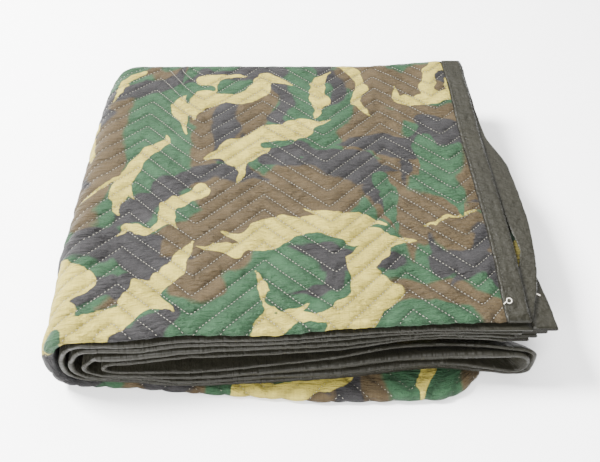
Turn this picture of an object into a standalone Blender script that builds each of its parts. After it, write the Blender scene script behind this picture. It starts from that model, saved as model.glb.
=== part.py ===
"""Folded moving blanket: one quilted panel folded in four both ways, with a bound edge all round."""
import math

import bpy
import numpy as np
from mathutils import Vector
from mathutils.geometry import delaunay_2d_cdt

# Sizes in millimetres
MM = 0.001
TOP_RIGHT_X = 254.0
BACK_Y = 228.0
PLY_PITCH = 5.75
FIRST_PLY_Z = 2.0
CLOTH_HALF = 1.85
PINCHED_HALF = 1.15
PILLOW_RISE = 1.15
PILLOW_LIFT = 1.3
EDGE_HALF = 1.3
EDGE_LEAST = 0.9
BINDING_WIDTH = 24.5
BINDING_GAP = 0.4
BINDING_WALL = 0.75
NOSE_RADIUS = 3.0
BACK_OUTER_REACH = 11.0
BACK_INNER_REACH = 3.2

# Quilting, on the flat cloth
ROW_PITCH = 25.0
ZIGZAG_PERIOD = 157.6
ZIGZAG_HEIGHT = 74.0
ZIGZAG_PEAK_U = 443.0
FIRST_ROW_V = -5.0

# Lengths along the cloth of each flat run and each turn, across and along
U_KNOTS = (0.0, 480.0, 563.6, 1020.6, 1056.6, 1496.6, 1556.6, 2032.0)
V_KNOTS = (0.0, 440.0, 470.0, 903.0, 912.0, 1353.0, 1363.0, 1829.0)

# Stations across the stack where the front was measured
STATIONS = (-228.0, -189.0, -110.0, -31.0, 47.0, 126.0, 166.0, 205.0, 232.0)

# Front edge of every run at the stations, from the top run to the bottom run
FRONT_FOLD = {
    "top": (-238, -237, -230, -231, -224, -220, -218, -217, -217),
    "bottom": (-244, -245, -253, -259, -266, -265, -264, -242, -204),
    "lower": (-203, -203, -202, -203, -202, -200, -200, -200, -201),
    "upper": (-203, -201, -202, -200, -202, -200, -201, -200, -200),
}
FRONT_SECOND = {
    "top": (-238, -238, -233, -232, -227, -223, -222, -223, -224),
    "bottom": (-242, -244, -249, -246, -242, -234, -231, -234, -238),
    "lower": (-241, -242, -244, -240, -235, -224, -222, -226, -232),
    "upper": (-241, -241, -237, -236, -233, -224, -222, -224, -227),
}
FRONT_FIRST = {
    "top": (-238, -238, -233, -232, -228, -223, -222, -223, -224),
    "bottom": (-243, -244, -249, -245, -243, -235, -232, -234, -238),
    "lower": (-242, -243, -247, -243, -239, -231, -230, -232, -235),
    "upper": (-241, -240, -235, -233, -231, -224, -222, -224, -226),
}

# Height of the plies at the front edge, from the bottom ply to the top ply
LEVEL = (0, 1, 2, 3, 4, 5, 7.5, 10, 11, 12, 13, 14, 15)
FRONT_HEIGHT = {
    -262: (2.0, 6.9, 12.0, 17.1, 22.2, 27.4, 46.0, 65.0, 69.5, 74.0, 78.5, 83.0, 87.5),
    -228: (2.0, 6.9, 12.0, 17.1, 22.2, 27.3, 36.5, 47.0, 57.0, 66.0, 74.0, 81.0, 87.0),
    -189: (2.0, 6.9, 12.0, 17.1, 22.2, 27.3, 35.0, 43.0, 54.0, 65.0, 73.5, 80.5, 86.5),
    -110: (2.0, 6.9, 12.4, 18.2, 24.2, 30.7, 40.0, 49.5, 58.5, 67.3, 75.0, 81.0, 86.5),
    -31: (2.0, 7.0, 13.5, 20.5, 28.0, 36.5, 45.0, 53.5, 60.8, 68.0, 75.0, 81.0, 86.5),
    47: (2.0, 8.0, 15.5, 24.0, 33.5, 44.5, 51.0, 57.0, 63.3, 69.8, 76.0, 82.0, 87.0),
    126: (2.0, 9.0, 17.5, 27.0, 38.0, 54.5, 58.5, 62.5, 67.6, 72.7, 77.8, 82.9, 88.0),
    166: (2.2, 9.2, 17.0, 25.6, 41.0, 55.3, 59.2, 63.1, 68.2, 73.3, 78.4, 83.5, 88.6),
    205: (2.0, 8.0, 14.2, 22.0, 44.0, 56.0, 59.8, 63.5, 68.6, 73.7, 78.8, 83.8, 88.9),
    244: (2.0, 7.4, 11.4, 17.0, 46.0, 53.8, 58.6, 63.5, 68.6, 73.7, 78.8, 83.8, 88.9),
}
WARP_BACK_Y = -198.0
WARP_FRONT_Y = -238.0

# Left turns, outermost first: distance in from the left side, and depth of the turn
TURN_INSET = (2.0, 9.0, 17.0, 26.0, 40.0, 60.0, 76.0, 84.0)
TURN_DEPTH = (34.0, 32.0, 30.0, 27.0, 21.0, 14.0, 8.6, 3.0)
TURN_SQUARENESS = 2.4

# Left side of the stack, seen from above
LEFT_SIDE = {
    "y": (-260, -214, -132, -29, 67, 129, 190, 218, 232),
    "x": (-262, -262, -263, -259, -255, -252, -245, -236, -228),
}

# Free ends on the right: how far each of the upper eight plies reaches, from front to back
FREE_END = {
    "y": (-250, -226, -205, -170, -120, -60, 20, 85, 160, 228),
    "ply 1": (250, 250, 251, 253, 256, 257, 257, 257, 257, 254),
    "ply 2": (252, 252, 259, 271, 280, 285, 284, 266, 262, 260),
    "ply 3": (289, 289, 287, 280, 276, 275, 274, 262, 260, 265),
    "ply 4": (270, 272, 273, 272, 270, 268, 268, 266, 266, 262),
    "ply 5": (262, 262, 264, 264, 262, 262, 264, 262, 262, 258),
    "ply 6": (254, 254, 256, 256, 256, 256, 258, 258, 256, 252),
    "ply 7": (246, 246, 248, 248, 250, 250, 252, 254, 252, 250),
    "ply 8": (244, 244, 246, 246, 246, 248, 248, 250, 250, 250),
}

# Right turn of the lower eight plies, innermost first, and the loose loops at its front
RIGHT_TURN_X = (235.0, 242.0, 248.5, 254.5)
LOOP_REACH = 27.0
LOOP_DEPTH = 11.0

# Back edge of each run, and its slant across the stack
BACK_STAGGER = {"top": 0.0, "bottom": -3.0, "lower": 1.0, "upper": -4.0}
BACK_SLANT = 0.036
BACK_LEVEL_X = 104.0

# Centre of the folded stack as measured, moved to the middle of the part
CENTRE_X = 13.756
CENTRE_Y = -15.889

RUNS = ("top", "bottom", "lower", "upper")


def clear_scene():
    for obj in list(bpy.data.objects):
        bpy.data.objects.remove(obj, do_unlink=True)


def ease(t):
    t = np.clip(t, 0.0, 1.0)
    return t * t * (3.0 - 2.0 * t)


def mix(a, b, t):
    return a + (b - a) * t


def nominal_x(run, t):
    """Nominal X of a flat run at a fraction t of its length."""
    if run in ("top", "upper"):
        right = TOP_RIGHT_X
    else:
        right = 236.0
    left = -226.0 if run in ("top", "bottom") else -185.0
    if run in ("top", "lower"):
        return mix(right, left, t)
    return mix(left, right, t)


def fraction_at(run, x):
    """Fraction of a flat run's length at a nominal X."""
    start = nominal_x(run, 0.0)
    end = nominal_x(run, 1.0)
    return (x - start) / (end - start)


def along_path(table):
    """Join one table of the four runs into one list along the path."""
    knots = []
    values = []
    for index, run in enumerate(RUNS):
        pairs = []
        for x, value in zip(STATIONS, table[run]):
            f = fraction_at(run, x)
            if 0.02 <= f <= 0.98:
                pairs.append((2 * index + f, value))
        for end in (0.0, 1.0):
            value = float(np.interp(nominal_x(run, end), STATIONS, table[run]))
            pairs.append((2 * index + end, value))
        pairs.sort()
        knots += [p[0] for p in pairs]
        values += [p[1] for p in pairs]
    return np.array(knots), np.array(values, float)


FOLD_PATH = along_path(FRONT_FOLD)
SECOND_PATH = along_path(FRONT_SECOND)
FIRST_PATH = along_path(FRONT_FIRST)
BACK_PATH = (
    np.arange(8.0),
    np.array([
        BACK_STAGGER[run] + BACK_SLANT * (nominal_x(run, end) - BACK_LEVEL_X)
        for run in RUNS
        for end in (0.0, 1.0)
    ]),
)


def y_and_level(a, b):
    """Depth in the stack and ply number within a run, of a point of the cloth."""
    s = np.clip(np.floor(b), 0, 6)
    t = b - s
    fold = np.interp(a, *FOLD_PATH) + NOSE_RADIUS
    second = np.interp(a, *SECOND_PATH)
    first = np.interp(a, *FIRST_PATH)
    back = BACK_Y + np.interp(a, *BACK_PATH)
    outer = back - BACK_OUTER_REACH
    inner = back - BACK_OUTER_REACH + 1.0
    turn = np.sin(math.pi * t)
    swing = np.cos(math.pi * t)
    nose = NOSE_RADIUS * (1.0 + 0.6 * ease((a - 2.8) / 0.1) * ease((3.3 - a) / 0.2))
    fold = fold + nose - NOSE_RADIUS
    case = [s == k for k in range(7)]
    y = np.select(case, [
        mix(first, outer, t),
        outer + BACK_OUTER_REACH * turn,
        mix(outer, fold, t),
        fold - nose * turn,
        mix(fold, inner, t),
        inner + BACK_INNER_REACH * turn,
        mix(inner, second, t),
    ])
    level = np.select(case, [
        0.0 * t,
        1.5 - 1.5 * swing,
        3.0 + 0.0 * t,
        2.5 + 0.5 * swing,
        2.0 + 0.0 * t,
        1.5 + 0.5 * swing,
        1.0 + 0.0 * t,
    ])
    return y, level


def free_end_x(ply, y):
    """Reach of a free end on the right, for a ply counted from the top."""
    columns = [np.interp(y, FREE_END["y"], FREE_END["ply %d" % n]) for n in range(1, 9)]
    ply = np.clip(ply, 1.0, 8.0)
    low = np.clip(np.floor(ply), 1, 7)
    part = ply - low
    result = 0.0 * y
    for n in range(1, 8):
        here = low == n
        result = np.where(here, mix(columns[n - 1], columns[n], part), result)
    return result


def rounded(t, squareness):
    """Half turn from the upper ply to the lower one: sideways part and upright part."""
    side = np.abs(np.sin(math.pi * t)) ** (2.0 / squareness)
    c = np.cos(math.pi * t)
    upright = np.sign(c) * np.abs(c) ** (2.0 / squareness)
    return side, upright


def x_and_ply(a, level, y):
    """Sideways place and height in plies, of a point of the cloth."""
    s = np.clip(np.floor(a), 0, 6)
    t = a - s
    left_x = np.interp(y, LEFT_SIDE["y"], LEFT_SIDE["x"])
    order_out = 3.0 - level
    order_in = 4.0 + level
    numbers = np.arange(8.0)
    depth_out = np.interp(order_out, numbers, TURN_DEPTH)
    depth_in = np.interp(order_in, numbers, TURN_DEPTH)
    start_out = left_x + np.interp(order_out, numbers, TURN_INSET) + depth_out
    start_in = left_x + np.interp(order_in, numbers, TURN_INSET) + depth_in
    loose = np.clip((-205.0 - y) / 33.0, 0.0, 1.1) * (level <= 1.01)
    depth_right = (0.5 + level) * PLY_PITCH + LOOP_DEPTH * loose
    start_right = np.interp(level, np.arange(4.0), RIGHT_TURN_X) + LOOP_REACH * loose - depth_right
    end_top = free_end_x(4.0 - level, y)
    end_upper = free_end_x(5.0 + level, y)
    side_l, upright_l = rounded(t, TURN_SQUARENESS)
    side_i, upright_i = rounded(t, 2.1)
    side_r, upright_r = rounded(t, 2.0)

    def flat(run, right, left):
        x = nominal_x(run, t)
        shift_right = right - max(nominal_x(run, 0.0), nominal_x(run, 1.0))
        shift_left = left - min(nominal_x(run, 0.0), nominal_x(run, 1.0))
        x = x + shift_right * ease((x - 190.0) / 46.0) * (x > 190.0)
        return x + shift_left * ease((-120.0 - x) / 65.0) * (x < -120.0)

    case = [s == k for k in range(7)]
    x = np.select(case, [
        flat("top", end_top, start_out),
        start_out - depth_out * side_l,
        flat("bottom", start_right, start_out),
        start_right + depth_right * side_r,
        flat("lower", start_right, start_in),
        start_in - depth_in * side_i,
        flat("upper", end_upper, start_in),
    ])
    ply = np.select(case, [
        12.0 + level,
        7.5 + (4.5 + level) * upright_l,
        3.0 - level,
        3.5 - (0.5 + level) * upright_r,
        4.0 + level,
        7.5 - (3.5 - level) * upright_i,
        11.0 - level,
    ])
    return x, ply


def front_height(ply, x):
    """Height of a ply at the front edge of the stack."""
    places = sorted(FRONT_HEIGHT)
    rows = [np.interp(ply, LEVEL, FRONT_HEIGHT[p]) for p in places]
    x = np.clip(x, places[0], places[-1])
    result = rows[0] * 1.0
    for n in range(len(places) - 1):
        here = (x >= places[n]) & (x <= places[n + 1])
        part = (x - places[n]) / (places[n + 1] - places[n])
        result = np.where(here, mix(rows[n], rows[n + 1], part), result)
    return result


def settle(x, y, ply):
    """Height of a point: even plies inside the stack, measured ones at the front."""
    even = FIRST_PLY_Z + PLY_PITCH * ply
    share = ease((WARP_BACK_Y - y) / (WARP_BACK_Y - WARP_FRONT_Y))
    z = mix(even, front_height(ply, x), share)
    high = np.clip(z / 90.0, 0.0, 1.1)
    lifted = np.clip((x - 126.0) / 104.0, 0.0, 1.0) * np.clip((y - 90.0) / 127.0, 0.0, 1.2)
    return z + high * high * 10.0 * lifted


def mid_surface(a, b):
    y, level = y_and_level(a, b)
    x, ply = x_and_ply(a, level, y)
    z = settle(x, y, ply)
    return np.stack([x, y, z], axis=-1)


def surface_normal(a, b):
    step = 0.004
    a0 = np.clip(a - step, 0.0, 7.0)
    a1 = np.clip(a + step, 0.0, 6.99999)
    b0 = np.clip(b - step, 0.0, 7.0)
    b1 = np.clip(b + step, 0.0, 6.99999)
    across = mid_surface(a1, b) - mid_surface(a0, b)
    along = mid_surface(a, b1) - mid_surface(a, b0)
    normal = np.cross(across, along)
    return normal / np.linalg.norm(normal, axis=-1, keepdims=True)


def cloth_u(a):
    return np.interp(a, np.arange(8.0), U_KNOTS)


def cloth_v(b):
    return np.interp(b, np.arange(8.0), V_KNOTS)


def path_a(u):
    return np.interp(u, U_KNOTS, np.arange(8.0))


def path_b(v):
    return np.interp(v, V_KNOTS, np.arange(8.0))


def zigzag(u):
    """Offset of a row of quilting along v at a place across the cloth."""
    phase = ((u - ZIGZAG_PEAK_U) / ZIGZAG_PERIOD) % 1.0
    return ZIGZAG_HEIGHT * (1.0 - np.abs(2.0 * phase - 1.0))


def pillow(u, v):
    """Nought on a row of stitches and one halfway between two rows."""
    row = (v - V_KNOTS[2] - FIRST_ROW_V - zigzag(u)) / ROW_PITCH
    return np.abs(np.sin(math.pi * row)) ** 0.75


def ply_gap(a, b):
    """Room between a point of the cloth and the nearer of the plies above and below it."""
    y, level = y_and_level(a, b)
    x, ply = x_and_ply(a, level, y)
    here = settle(x, y, ply)
    above = settle(x, y, ply + 1.0) - here
    below = here - settle(x, y, ply - 1.0)
    normal = surface_normal(a, b)
    lean = np.clip(np.abs(normal[..., 2]), 0.75, 1.0)
    flare = np.sqrt(np.clip(1.0 - normal[..., 1] ** 2, 0.25, 1.0))
    turning = (a > 1.0) & (a < 2.0) | (a > 3.0) & (a < 4.0) | (a > 5.0) & (a < 6.0)
    side = np.abs(np.sin(math.pi * a)) ** 2 * turning
    return mix(np.minimum(above, below) * lean, 7.2 * flare, side)


def half_thickness(a, b):
    """Half the thickness of the panel at a point of the cloth."""
    u = cloth_u(a)
    v = cloth_v(b)
    edge_u = np.minimum(u, U_KNOTS[-1] - u)
    edge_v = np.minimum(v, V_KNOTS[-1] - v)
    quilted = ease((2.3 - a) / 0.3) * ease((b - 1.98) / 0.03) * ease((3.02 - b) / 0.03)
    quilted = quilted * ease((edge_u - BINDING_WIDTH) / 9.0)
    half = mix(CLOTH_HALF, PINCHED_HALF + PILLOW_RISE * pillow(u, v), quilted)
    full = np.clip(0.5 * ply_gap(a, b) - 0.45 - BINDING_GAP - BINDING_WALL, EDGE_LEAST, 3.0)
    half = mix(half, full, ease((62.0 - edge_v) / 36.0))
    return mix(half, np.minimum(half, EDGE_HALF), ease((34.0 - edge_u) / 9.0)), quilted * pillow(u, v)


def faces_of(a, b):
    """Outer and inner face points of the panel."""
    middle = mid_surface(a, b)
    normal = surface_normal(a, b)
    half, raised = half_thickness(a, b)
    outer = middle + normal * (half + PILLOW_LIFT * raised)[..., None]
    inner = middle - normal * (half - 0.6 * PILLOW_LIFT * raised)[..., None]
    on_table = (a >= 2.0) & (a <= 3.0) & (b >= 2.0) & (b <= 3.0)
    outer[..., 2] = np.where(on_table, 0.0, np.maximum(outer[..., 2], 0.0))
    return outer, inner


def column_places():
    """Places across the cloth that every ply shares."""
    places = [0.0, path_a(BINDING_WIDTH), path_a(BINDING_WIDTH + 10.0)]
    stations = [x for x in STATIONS if -200.0 < x < 210.0]
    for index, run in enumerate(RUNS):
        limit = -180.0 if run in ("lower", "upper") else -200.0
        places += [2 * index + fraction_at(run, x) for x in stations if x > limit]
    for start, count in ((1, 7), (3, 6), (5, 5)):
        places += [start + k / count for k in range(count + 1)]
    places += [path_a(U_KNOTS[-1] - BINDING_WIDTH - 10.0), path_a(U_KNOTS[-1] - BINDING_WIDTH), 7.0 - 1e-6]
    return sorted(set(round(float(p), 6) for p in places))


def row_places():
    """Places along the cloth that every ply shares."""
    v_end = V_KNOTS[-1]
    places = [0.0, path_b(BINDING_WIDTH), path_b(45.0), path_b(160.0), path_b(320.0)]
    places += [1.0 + k / 6.0 for k in range(7)]
    places += [path_b(V_KNOTS[2] + 127.0), path_b(V_KNOTS[2] + 270.0)]
    places += [path_b(V_KNOTS[3] - 45.0), path_b(V_KNOTS[3] - 20.0)]
    places += [3.0 + k / 5.0 for k in range(6)]
    places += [path_b(V_KNOTS[4] + 20.0), path_b(V_KNOTS[4] + 45.0)]
    places += [path_b(V_KNOTS[5] - 270.0), path_b(V_KNOTS[5] - 127.0)]
    places += [5.0 + k / 4.0 for k in range(5)]
    places += [path_b(v_end - 320.0), path_b(v_end - 160.0), path_b(v_end - 45.0)]
    places += [path_b(v_end - BINDING_WIDTH), 7.0 - 1e-6]
    return sorted(set(round(float(p), 6) for p in places))


def heading_across(a):
    """Plus one where the cloth runs to the right as it goes on, minus one where it runs left."""
    run = int(min(a, 6.999))
    later = a - run > 0.5
    return {0: -1, 1: 1 if later else -1, 2: 1, 3: -1 if later else 1, 4: -1, 5: 1 if later else -1, 6: 1}[run]


def heading_along(b):
    """Plus one where the cloth runs to the back as it goes on, minus one where it runs forward."""
    run = int(min(b, 6.999))
    later = b - run > 0.5
    return {0: 1, 1: -1 if later else 1, 2: -1, 3: 1 if later else -1, 4: 1, 5: -1 if later else 1, 6: -1}[run]


def quilt_points():
    """Points on the rows of stitches and on the pillows between them, for the top and left side."""
    quarter = ZIGZAG_PERIOD / 4.0
    columns = []
    u = ZIGZAG_PEAK_U % quarter
    while u < U_KNOTS[1] - 4.0:
        if u > BINDING_WIDTH + 4.0:
            columns.append(u)
        u += quarter
    turn = [U_KNOTS[1] + (U_KNOTS[2] - U_KNOTS[1]) * k / 7.0 for k in range(8)]
    columns += turn
    v_low = V_KNOTS[2] + 6.0
    v_high = V_KNOTS[3] - 5.0
    lines = []
    first = int(-ZIGZAG_HEIGHT / ROW_PITCH) - 2
    for row in range(first, 22):
        for part in (0.0, 1.0 / 3.0, 2.0 / 3.0):
            line = []
            for c in columns:
                v = V_KNOTS[2] + FIRST_ROW_V + float(zigzag(c)) + (row + part) * ROW_PITCH
                line.append((c, v) if v_low < v < v_high else None)
            lines.append(line)
    return lines


def panel_mesh():
    columns = column_places()
    rows = row_places()
    points = []
    keys = {}

    def add(u, v, a, b):
        key = (round(u, 3), round(v, 3))
        if key not in keys:
            keys[key] = len(points)
            points.append((u, v, a, b))
        return keys[key]

    grid = []
    for a in columns:
        line = []
        for b in rows:
            u = float(cloth_u(a))
            v = float(cloth_v(b))
            quilted = BINDING_WIDTH + 1.0 < u and a <= 2.0 and 2.0 < b < 3.0
            if quilted:
                line.append(None)
                continue
            line.append(add(u, v, a, b))
        grid.append(line)
    edges = []
    for i in range(len(columns)):
        for j in range(len(rows)):
            if grid[i][j] is None:
                continue
            if i + 1 < len(columns) and grid[i + 1][j] is not None:
                edges.append((grid[i][j], grid[i + 1][j]))
            if j + 1 < len(rows) and grid[i][j + 1] is not None:
                edges.append((grid[i][j], grid[i][j + 1]))
    for i in range(len(columns) - 1):
        for j in range(len(rows) - 1):
            corners = (grid[i][j], grid[i + 1][j], grid[i + 1][j + 1], grid[i][j + 1])
            if None in corners or len(set(corners)) < 4:
                continue
            across = heading_across(0.5 * (columns[i] + columns[i + 1]))
            along = heading_along(0.5 * (rows[j] + rows[j + 1]))
            if across * along > 0:
                edges.append((corners[0], corners[2]))
            else:
                edges.append((corners[1], corners[3]))
    for line in quilt_points():
        last = None
        for point in line:
            if point is None:
                last = None
                continue
            u, v = point
            here = add(u, v, float(path_a(u)), float(path_b(v)))
            if last is not None:
                edges.append((last, here))
            last = here
    flat = [(p[0], p[1]) for p in points]
    result = delaunay_2d_cdt([Vector(p) for p in flat], edges, [], 0, 1e-4)
    verts, _, faces, orig = result[0], result[1], result[2], result[3]
    a = np.array([path_a(v.x) for v in verts])
    b = np.array([path_b(v.y) for v in verts])
    for k, source in enumerate(orig):
        if source:
            a[k] = points[source[0]][2]
            b[k] = points[source[0]][3]
    outer, inner = faces_of(a, b)
    count = len(verts)
    triangles = []
    for f in faces:
        p, q, r = (verts[k] for k in f)
        turn = (q.x - p.x) * (r.y - p.y) - (q.y - p.y) * (r.x - p.x)
        f = tuple(f) if turn > 0 else (f[0], f[2], f[1])
        triangles.append(f)
    sides = {}
    for f in triangles:
        for k in range(3):
            edge = (f[k], f[(k + 1) % 3])
            sides[edge] = sides.get(edge, 0) + 1
    rim = []
    for (p, q) in sides:
        if (q, p) not in sides:
            rim.append((p, q))
    result_faces = list(triangles)
    result_faces += [(f[0] + count, f[2] + count, f[1] + count) for f in triangles]
    for p, q in rim:
        result_faces.append((q, p, p + count))
        result_faces.append((q, p + count, q + count))
    return np.concatenate([outer, inner]), result_faces


def channel_profile(half_point, half_edge, nose, end_gap):
    """Section of the binding round the edge: distance in from the edge, and height."""
    inner = half_point + BINDING_GAP
    outer = inner + BINDING_WALL
    inner_edge = half_edge + BINDING_GAP
    outer_edge = inner_edge + BINDING_WALL
    return (
        (BINDING_WIDTH, outer), (0.4, outer_edge), (-nose, 0.62 * outer_edge),
        (-nose, -0.62 * outer_edge), (0.4, -outer_edge), (BINDING_WIDTH, -outer),
        (BINDING_WIDTH, -inner), (-end_gap, -inner_edge), (-end_gap, inner_edge), (BINDING_WIDTH, inner),
    )


def channel_mesh(places, point_at, half_at, leans, end_gap):
    """Sweep the binding section along one edge of the panel."""
    rings = []
    for place in places:
        half_edge = half_at(place, 0.0)
        half_leg = half_at(place, BINDING_WIDTH)
        nose = max(end_gap + 1.2, 0.6 * (half_edge + BINDING_GAP + BINDING_WALL))
        ring = []
        for inward, height in channel_profile(half_leg, half_edge, nose, end_gap):
            ring.append(point_at(place, inward, height))
        rings.append(ring)
    verts = np.array([p for ring in rings for p in ring])
    n = len(rings[0])
    faces = []
    for k in range(len(rings) - 1):
        from_edge = leans(0.5 * (places[k] + places[k + 1]))
        for m in range(n):
            p = k * n + m
            q = k * n + (m + 1) % n
            edge_first = m in (4, 8)
            if m in (0, 4, 6, 8) and from_edge != edge_first:
                faces.append((p, q, p + n))
                faces.append((q, q + n, p + n))
            else:
                faces.append((p, q, q + n))
                faces.append((p, q + n, p + n))
    for base, flip in ((0, False), ((len(rings) - 1) * n, True)):
        loops = [(0, 1, 8), (0, 8, 9), (1, 2, 8), (2, 3, 7), (2, 7, 8), (3, 4, 7), (4, 5, 6), (4, 6, 7)]
        for p, q, r in loops:
            face = (base + p, base + q, base + r)
            faces.append(face if flip else face[::-1])
    return verts, faces


def edge_binding(side):
    """Binding along one of the four edges of the panel."""
    u_end = U_KNOTS[-1]
    v_end = V_KNOTS[-1]
    if side in ("start", "end"):
        places = [float(p) for p in row_places()]

        def cloth_place(place, inward):
            u = inward if side == "start" else u_end - inward
            return path_a(u), place
    else:
        margin = BINDING_WIDTH + 0.6
        keep = [p for p in column_places() if margin + 2.0 < cloth_u(p) < u_end - margin - 2.0]
        places = [float(path_a(margin))] + keep + [float(path_a(u_end - margin))]

        def cloth_place(place, inward):
            v = inward if side == "first" else v_end - inward
            return place, path_b(v)

    def point_at(place, inward, height):
        inside = max(inward, 0.0)
        a, b = cloth_place(place, inside)
        a = np.array([float(a)])
        b = np.array([float(b)])
        point = mid_surface(a, b)[0]
        normal = surface_normal(a, b)[0]
        if inward < 0.0:
            a2, b2 = cloth_place(place, 3.0)
            further = mid_surface(np.array([float(a2)]), np.array([float(b2)]))[0]
            outward = point - further
            outward = outward - normal * float(outward @ normal)
            outward = outward / np.linalg.norm(outward)
            point = point + outward * (-inward)
        return point + normal * height

    def half_at(place, inward):
        a, b = cloth_place(place, inward)
        half, _ = half_thickness(np.array([float(a)]), np.array([float(b)]))
        return float(half[0])

    def leans(place):
        if side in ("start", "end"):
            return heading_along(place) < 0
        return heading_across(place) > 0

    end_gap = 1.1 if side in ("start", "end") else 0.5
    return channel_mesh(places, point_at, half_at, leans, end_gap)


def volume_sign(verts, faces):
    total = 0.0
    for f in faces:
        p, q, r = verts[f[0]], verts[f[1]], verts[f[2]]
        total += float(np.dot(p, np.cross(q, r)))
    return total


def make_object(name, verts, faces, material):
    if volume_sign(verts, faces) < 0.0:
        faces = [f[::-1] for f in faces]
    centre = np.array([CENTRE_X, CENTRE_Y, 0.0])
    mesh = bpy.data.meshes.new(name)
    mesh.from_pydata([tuple((p - centre) * MM) for p in verts], [], faces)
    mesh.update()
    mesh.materials.append(material)
    for polygon in mesh.polygons:
        polygon.use_smooth = True
    obj = bpy.data.objects.new(name, mesh)
    bpy.context.scene.collection.objects.link(obj)
    return obj


def plain_material(name, colour, roughness):
    material = bpy.data.materials.new(name)
    material.use_nodes = True
    shader = material.node_tree.nodes["Principled BSDF"]
    shader.inputs["Base Color"].default_value = (*colour, 1.0)
    shader.inputs["Roughness"].default_value = roughness
    shader.inputs["Metallic"].default_value = 0.0
    return material


def main():
    clear_scene()
    panel_cloth = plain_material("quilted_cloth", (0.16, 0.17, 0.09), 0.85)
    binding_cloth = plain_material("binding_cloth", (0.055, 0.055, 0.05), 0.7)
    verts, faces = panel_mesh()
    make_object("quilted_panel", verts, faces, panel_cloth)
    for side, name in (
        ("first", "binding_first_front"),
        ("second", "binding_second_front"),
        ("start", "binding_upper_end"),
        ("end", "binding_lower_end"),
    ):
        verts, faces = edge_binding(side)
        make_object(name, verts, faces, binding_cloth)


main()
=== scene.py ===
"""Looks of a folded quilted moving blanket: printed cloth, satin tape, quilting thread and studio.

Laid out as an add-on and run as a script. Sizes are in millimetres, and MM turns them into metres.
"""
import math

import bpy
import numpy as np
from mathutils import Matrix, Vector
from mathutils.geometry import delaunay_2d_cdt


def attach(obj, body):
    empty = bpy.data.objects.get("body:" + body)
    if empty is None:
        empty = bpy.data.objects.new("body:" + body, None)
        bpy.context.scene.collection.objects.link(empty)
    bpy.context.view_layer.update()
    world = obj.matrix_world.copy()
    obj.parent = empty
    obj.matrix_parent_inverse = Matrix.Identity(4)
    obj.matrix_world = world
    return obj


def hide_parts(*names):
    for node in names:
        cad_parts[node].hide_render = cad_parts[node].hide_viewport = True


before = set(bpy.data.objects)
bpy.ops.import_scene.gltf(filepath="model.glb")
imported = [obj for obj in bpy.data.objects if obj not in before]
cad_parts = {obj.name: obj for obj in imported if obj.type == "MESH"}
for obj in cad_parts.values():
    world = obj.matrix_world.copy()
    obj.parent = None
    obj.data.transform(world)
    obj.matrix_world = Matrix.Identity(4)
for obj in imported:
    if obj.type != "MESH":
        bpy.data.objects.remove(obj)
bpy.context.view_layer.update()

bl_info = {
    "name": "Folded moving blanket",
    "version": (1, 0, 0),
    "blender": (4, 5, 0),
    "location": "3D View > Sidebar > Blanket",
    "description": "Makes the cloth, tape and thread of a folded quilted blanket",
    "category": "Object",
}

# The folded stack, as in the solids
MM = 0.001
TOP_RIGHT_X = 254.0
BACK_Y = 228.0
PLY_PITCH = 5.75
FIRST_PLY_Z = 2.0
CLOTH_HALF = 1.85
PINCHED_HALF = 1.15
PILLOW_RISE = 1.15
PILLOW_LIFT = 1.3
EDGE_HALF = 1.3
EDGE_LEAST = 0.9
EDGE_MOST = 4.2
EDGE_TAPER = (62.0, 36.0)
SIDE_TAPER = (34.0, 9.0)
BINDING_WIDTH = 24.5
BINDING_GAP = 0.4
BINDING_WALL = 0.75
NOSE_RADIUS = 3.0
FRONT_SWELL = 0.6
FRONT_SWELL_PLACE = (2.8, 0.1, 3.3, 0.2)
BACK_OUTER_REACH = 11.0
BACK_INNER_REACH = 3.2

# Quilting, on the flat cloth
ROW_PITCH = 25.0
ZIGZAG_PERIOD = 157.6
ZIGZAG_HEIGHT = 74.0
ZIGZAG_PEAK_U = 443.0
FIRST_ROW_V = -5.0

# Places on the flat cloth where each flat run and each turn of the fold ends, across and along
U_KNOTS = (0.0, 480.0, 563.6, 1020.6, 1056.6, 1496.6, 1556.6, 2032.0)
V_KNOTS = (0.0, 440.0, 470.0, 903.0, 912.0, 1353.0, 1363.0, 1829.0)

# Stations across the stack where the front was measured
STATIONS = (-228.0, -189.0, -110.0, -31.0, 47.0, 126.0, 166.0, 205.0, 232.0)

# Front edge of every run at the stations, from the top run to the bottom run
FRONT_FOLD = {
    "top": (-238, -237, -230, -231, -224, -220, -218, -217, -217),
    "bottom": (-244, -245, -253, -259, -266, -265, -264, -242, -204),
    "lower": (-203, -203, -202, -203, -202, -200, -200, -200, -201),
    "upper": (-203, -201, -202, -200, -202, -200, -201, -200, -200),
}
FRONT_SECOND = {
    "top": (-238, -238, -233, -232, -227, -223, -222, -223, -224),
    "bottom": (-242, -244, -249, -246, -242, -234, -231, -234, -238),
    "lower": (-241, -242, -244, -240, -235, -224, -222, -226, -232),
    "upper": (-241, -241, -237, -236, -233, -224, -222, -224, -227),
}
FRONT_FIRST = {
    "top": (-238, -238, -233, -232, -228, -223, -222, -223, -224),
    "bottom": (-243, -244, -249, -245, -243, -235, -232, -234, -238),
    "lower": (-242, -243, -247, -243, -239, -231, -230, -232, -235),
    "upper": (-241, -240, -235, -233, -231, -224, -222, -224, -226),
}

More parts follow.
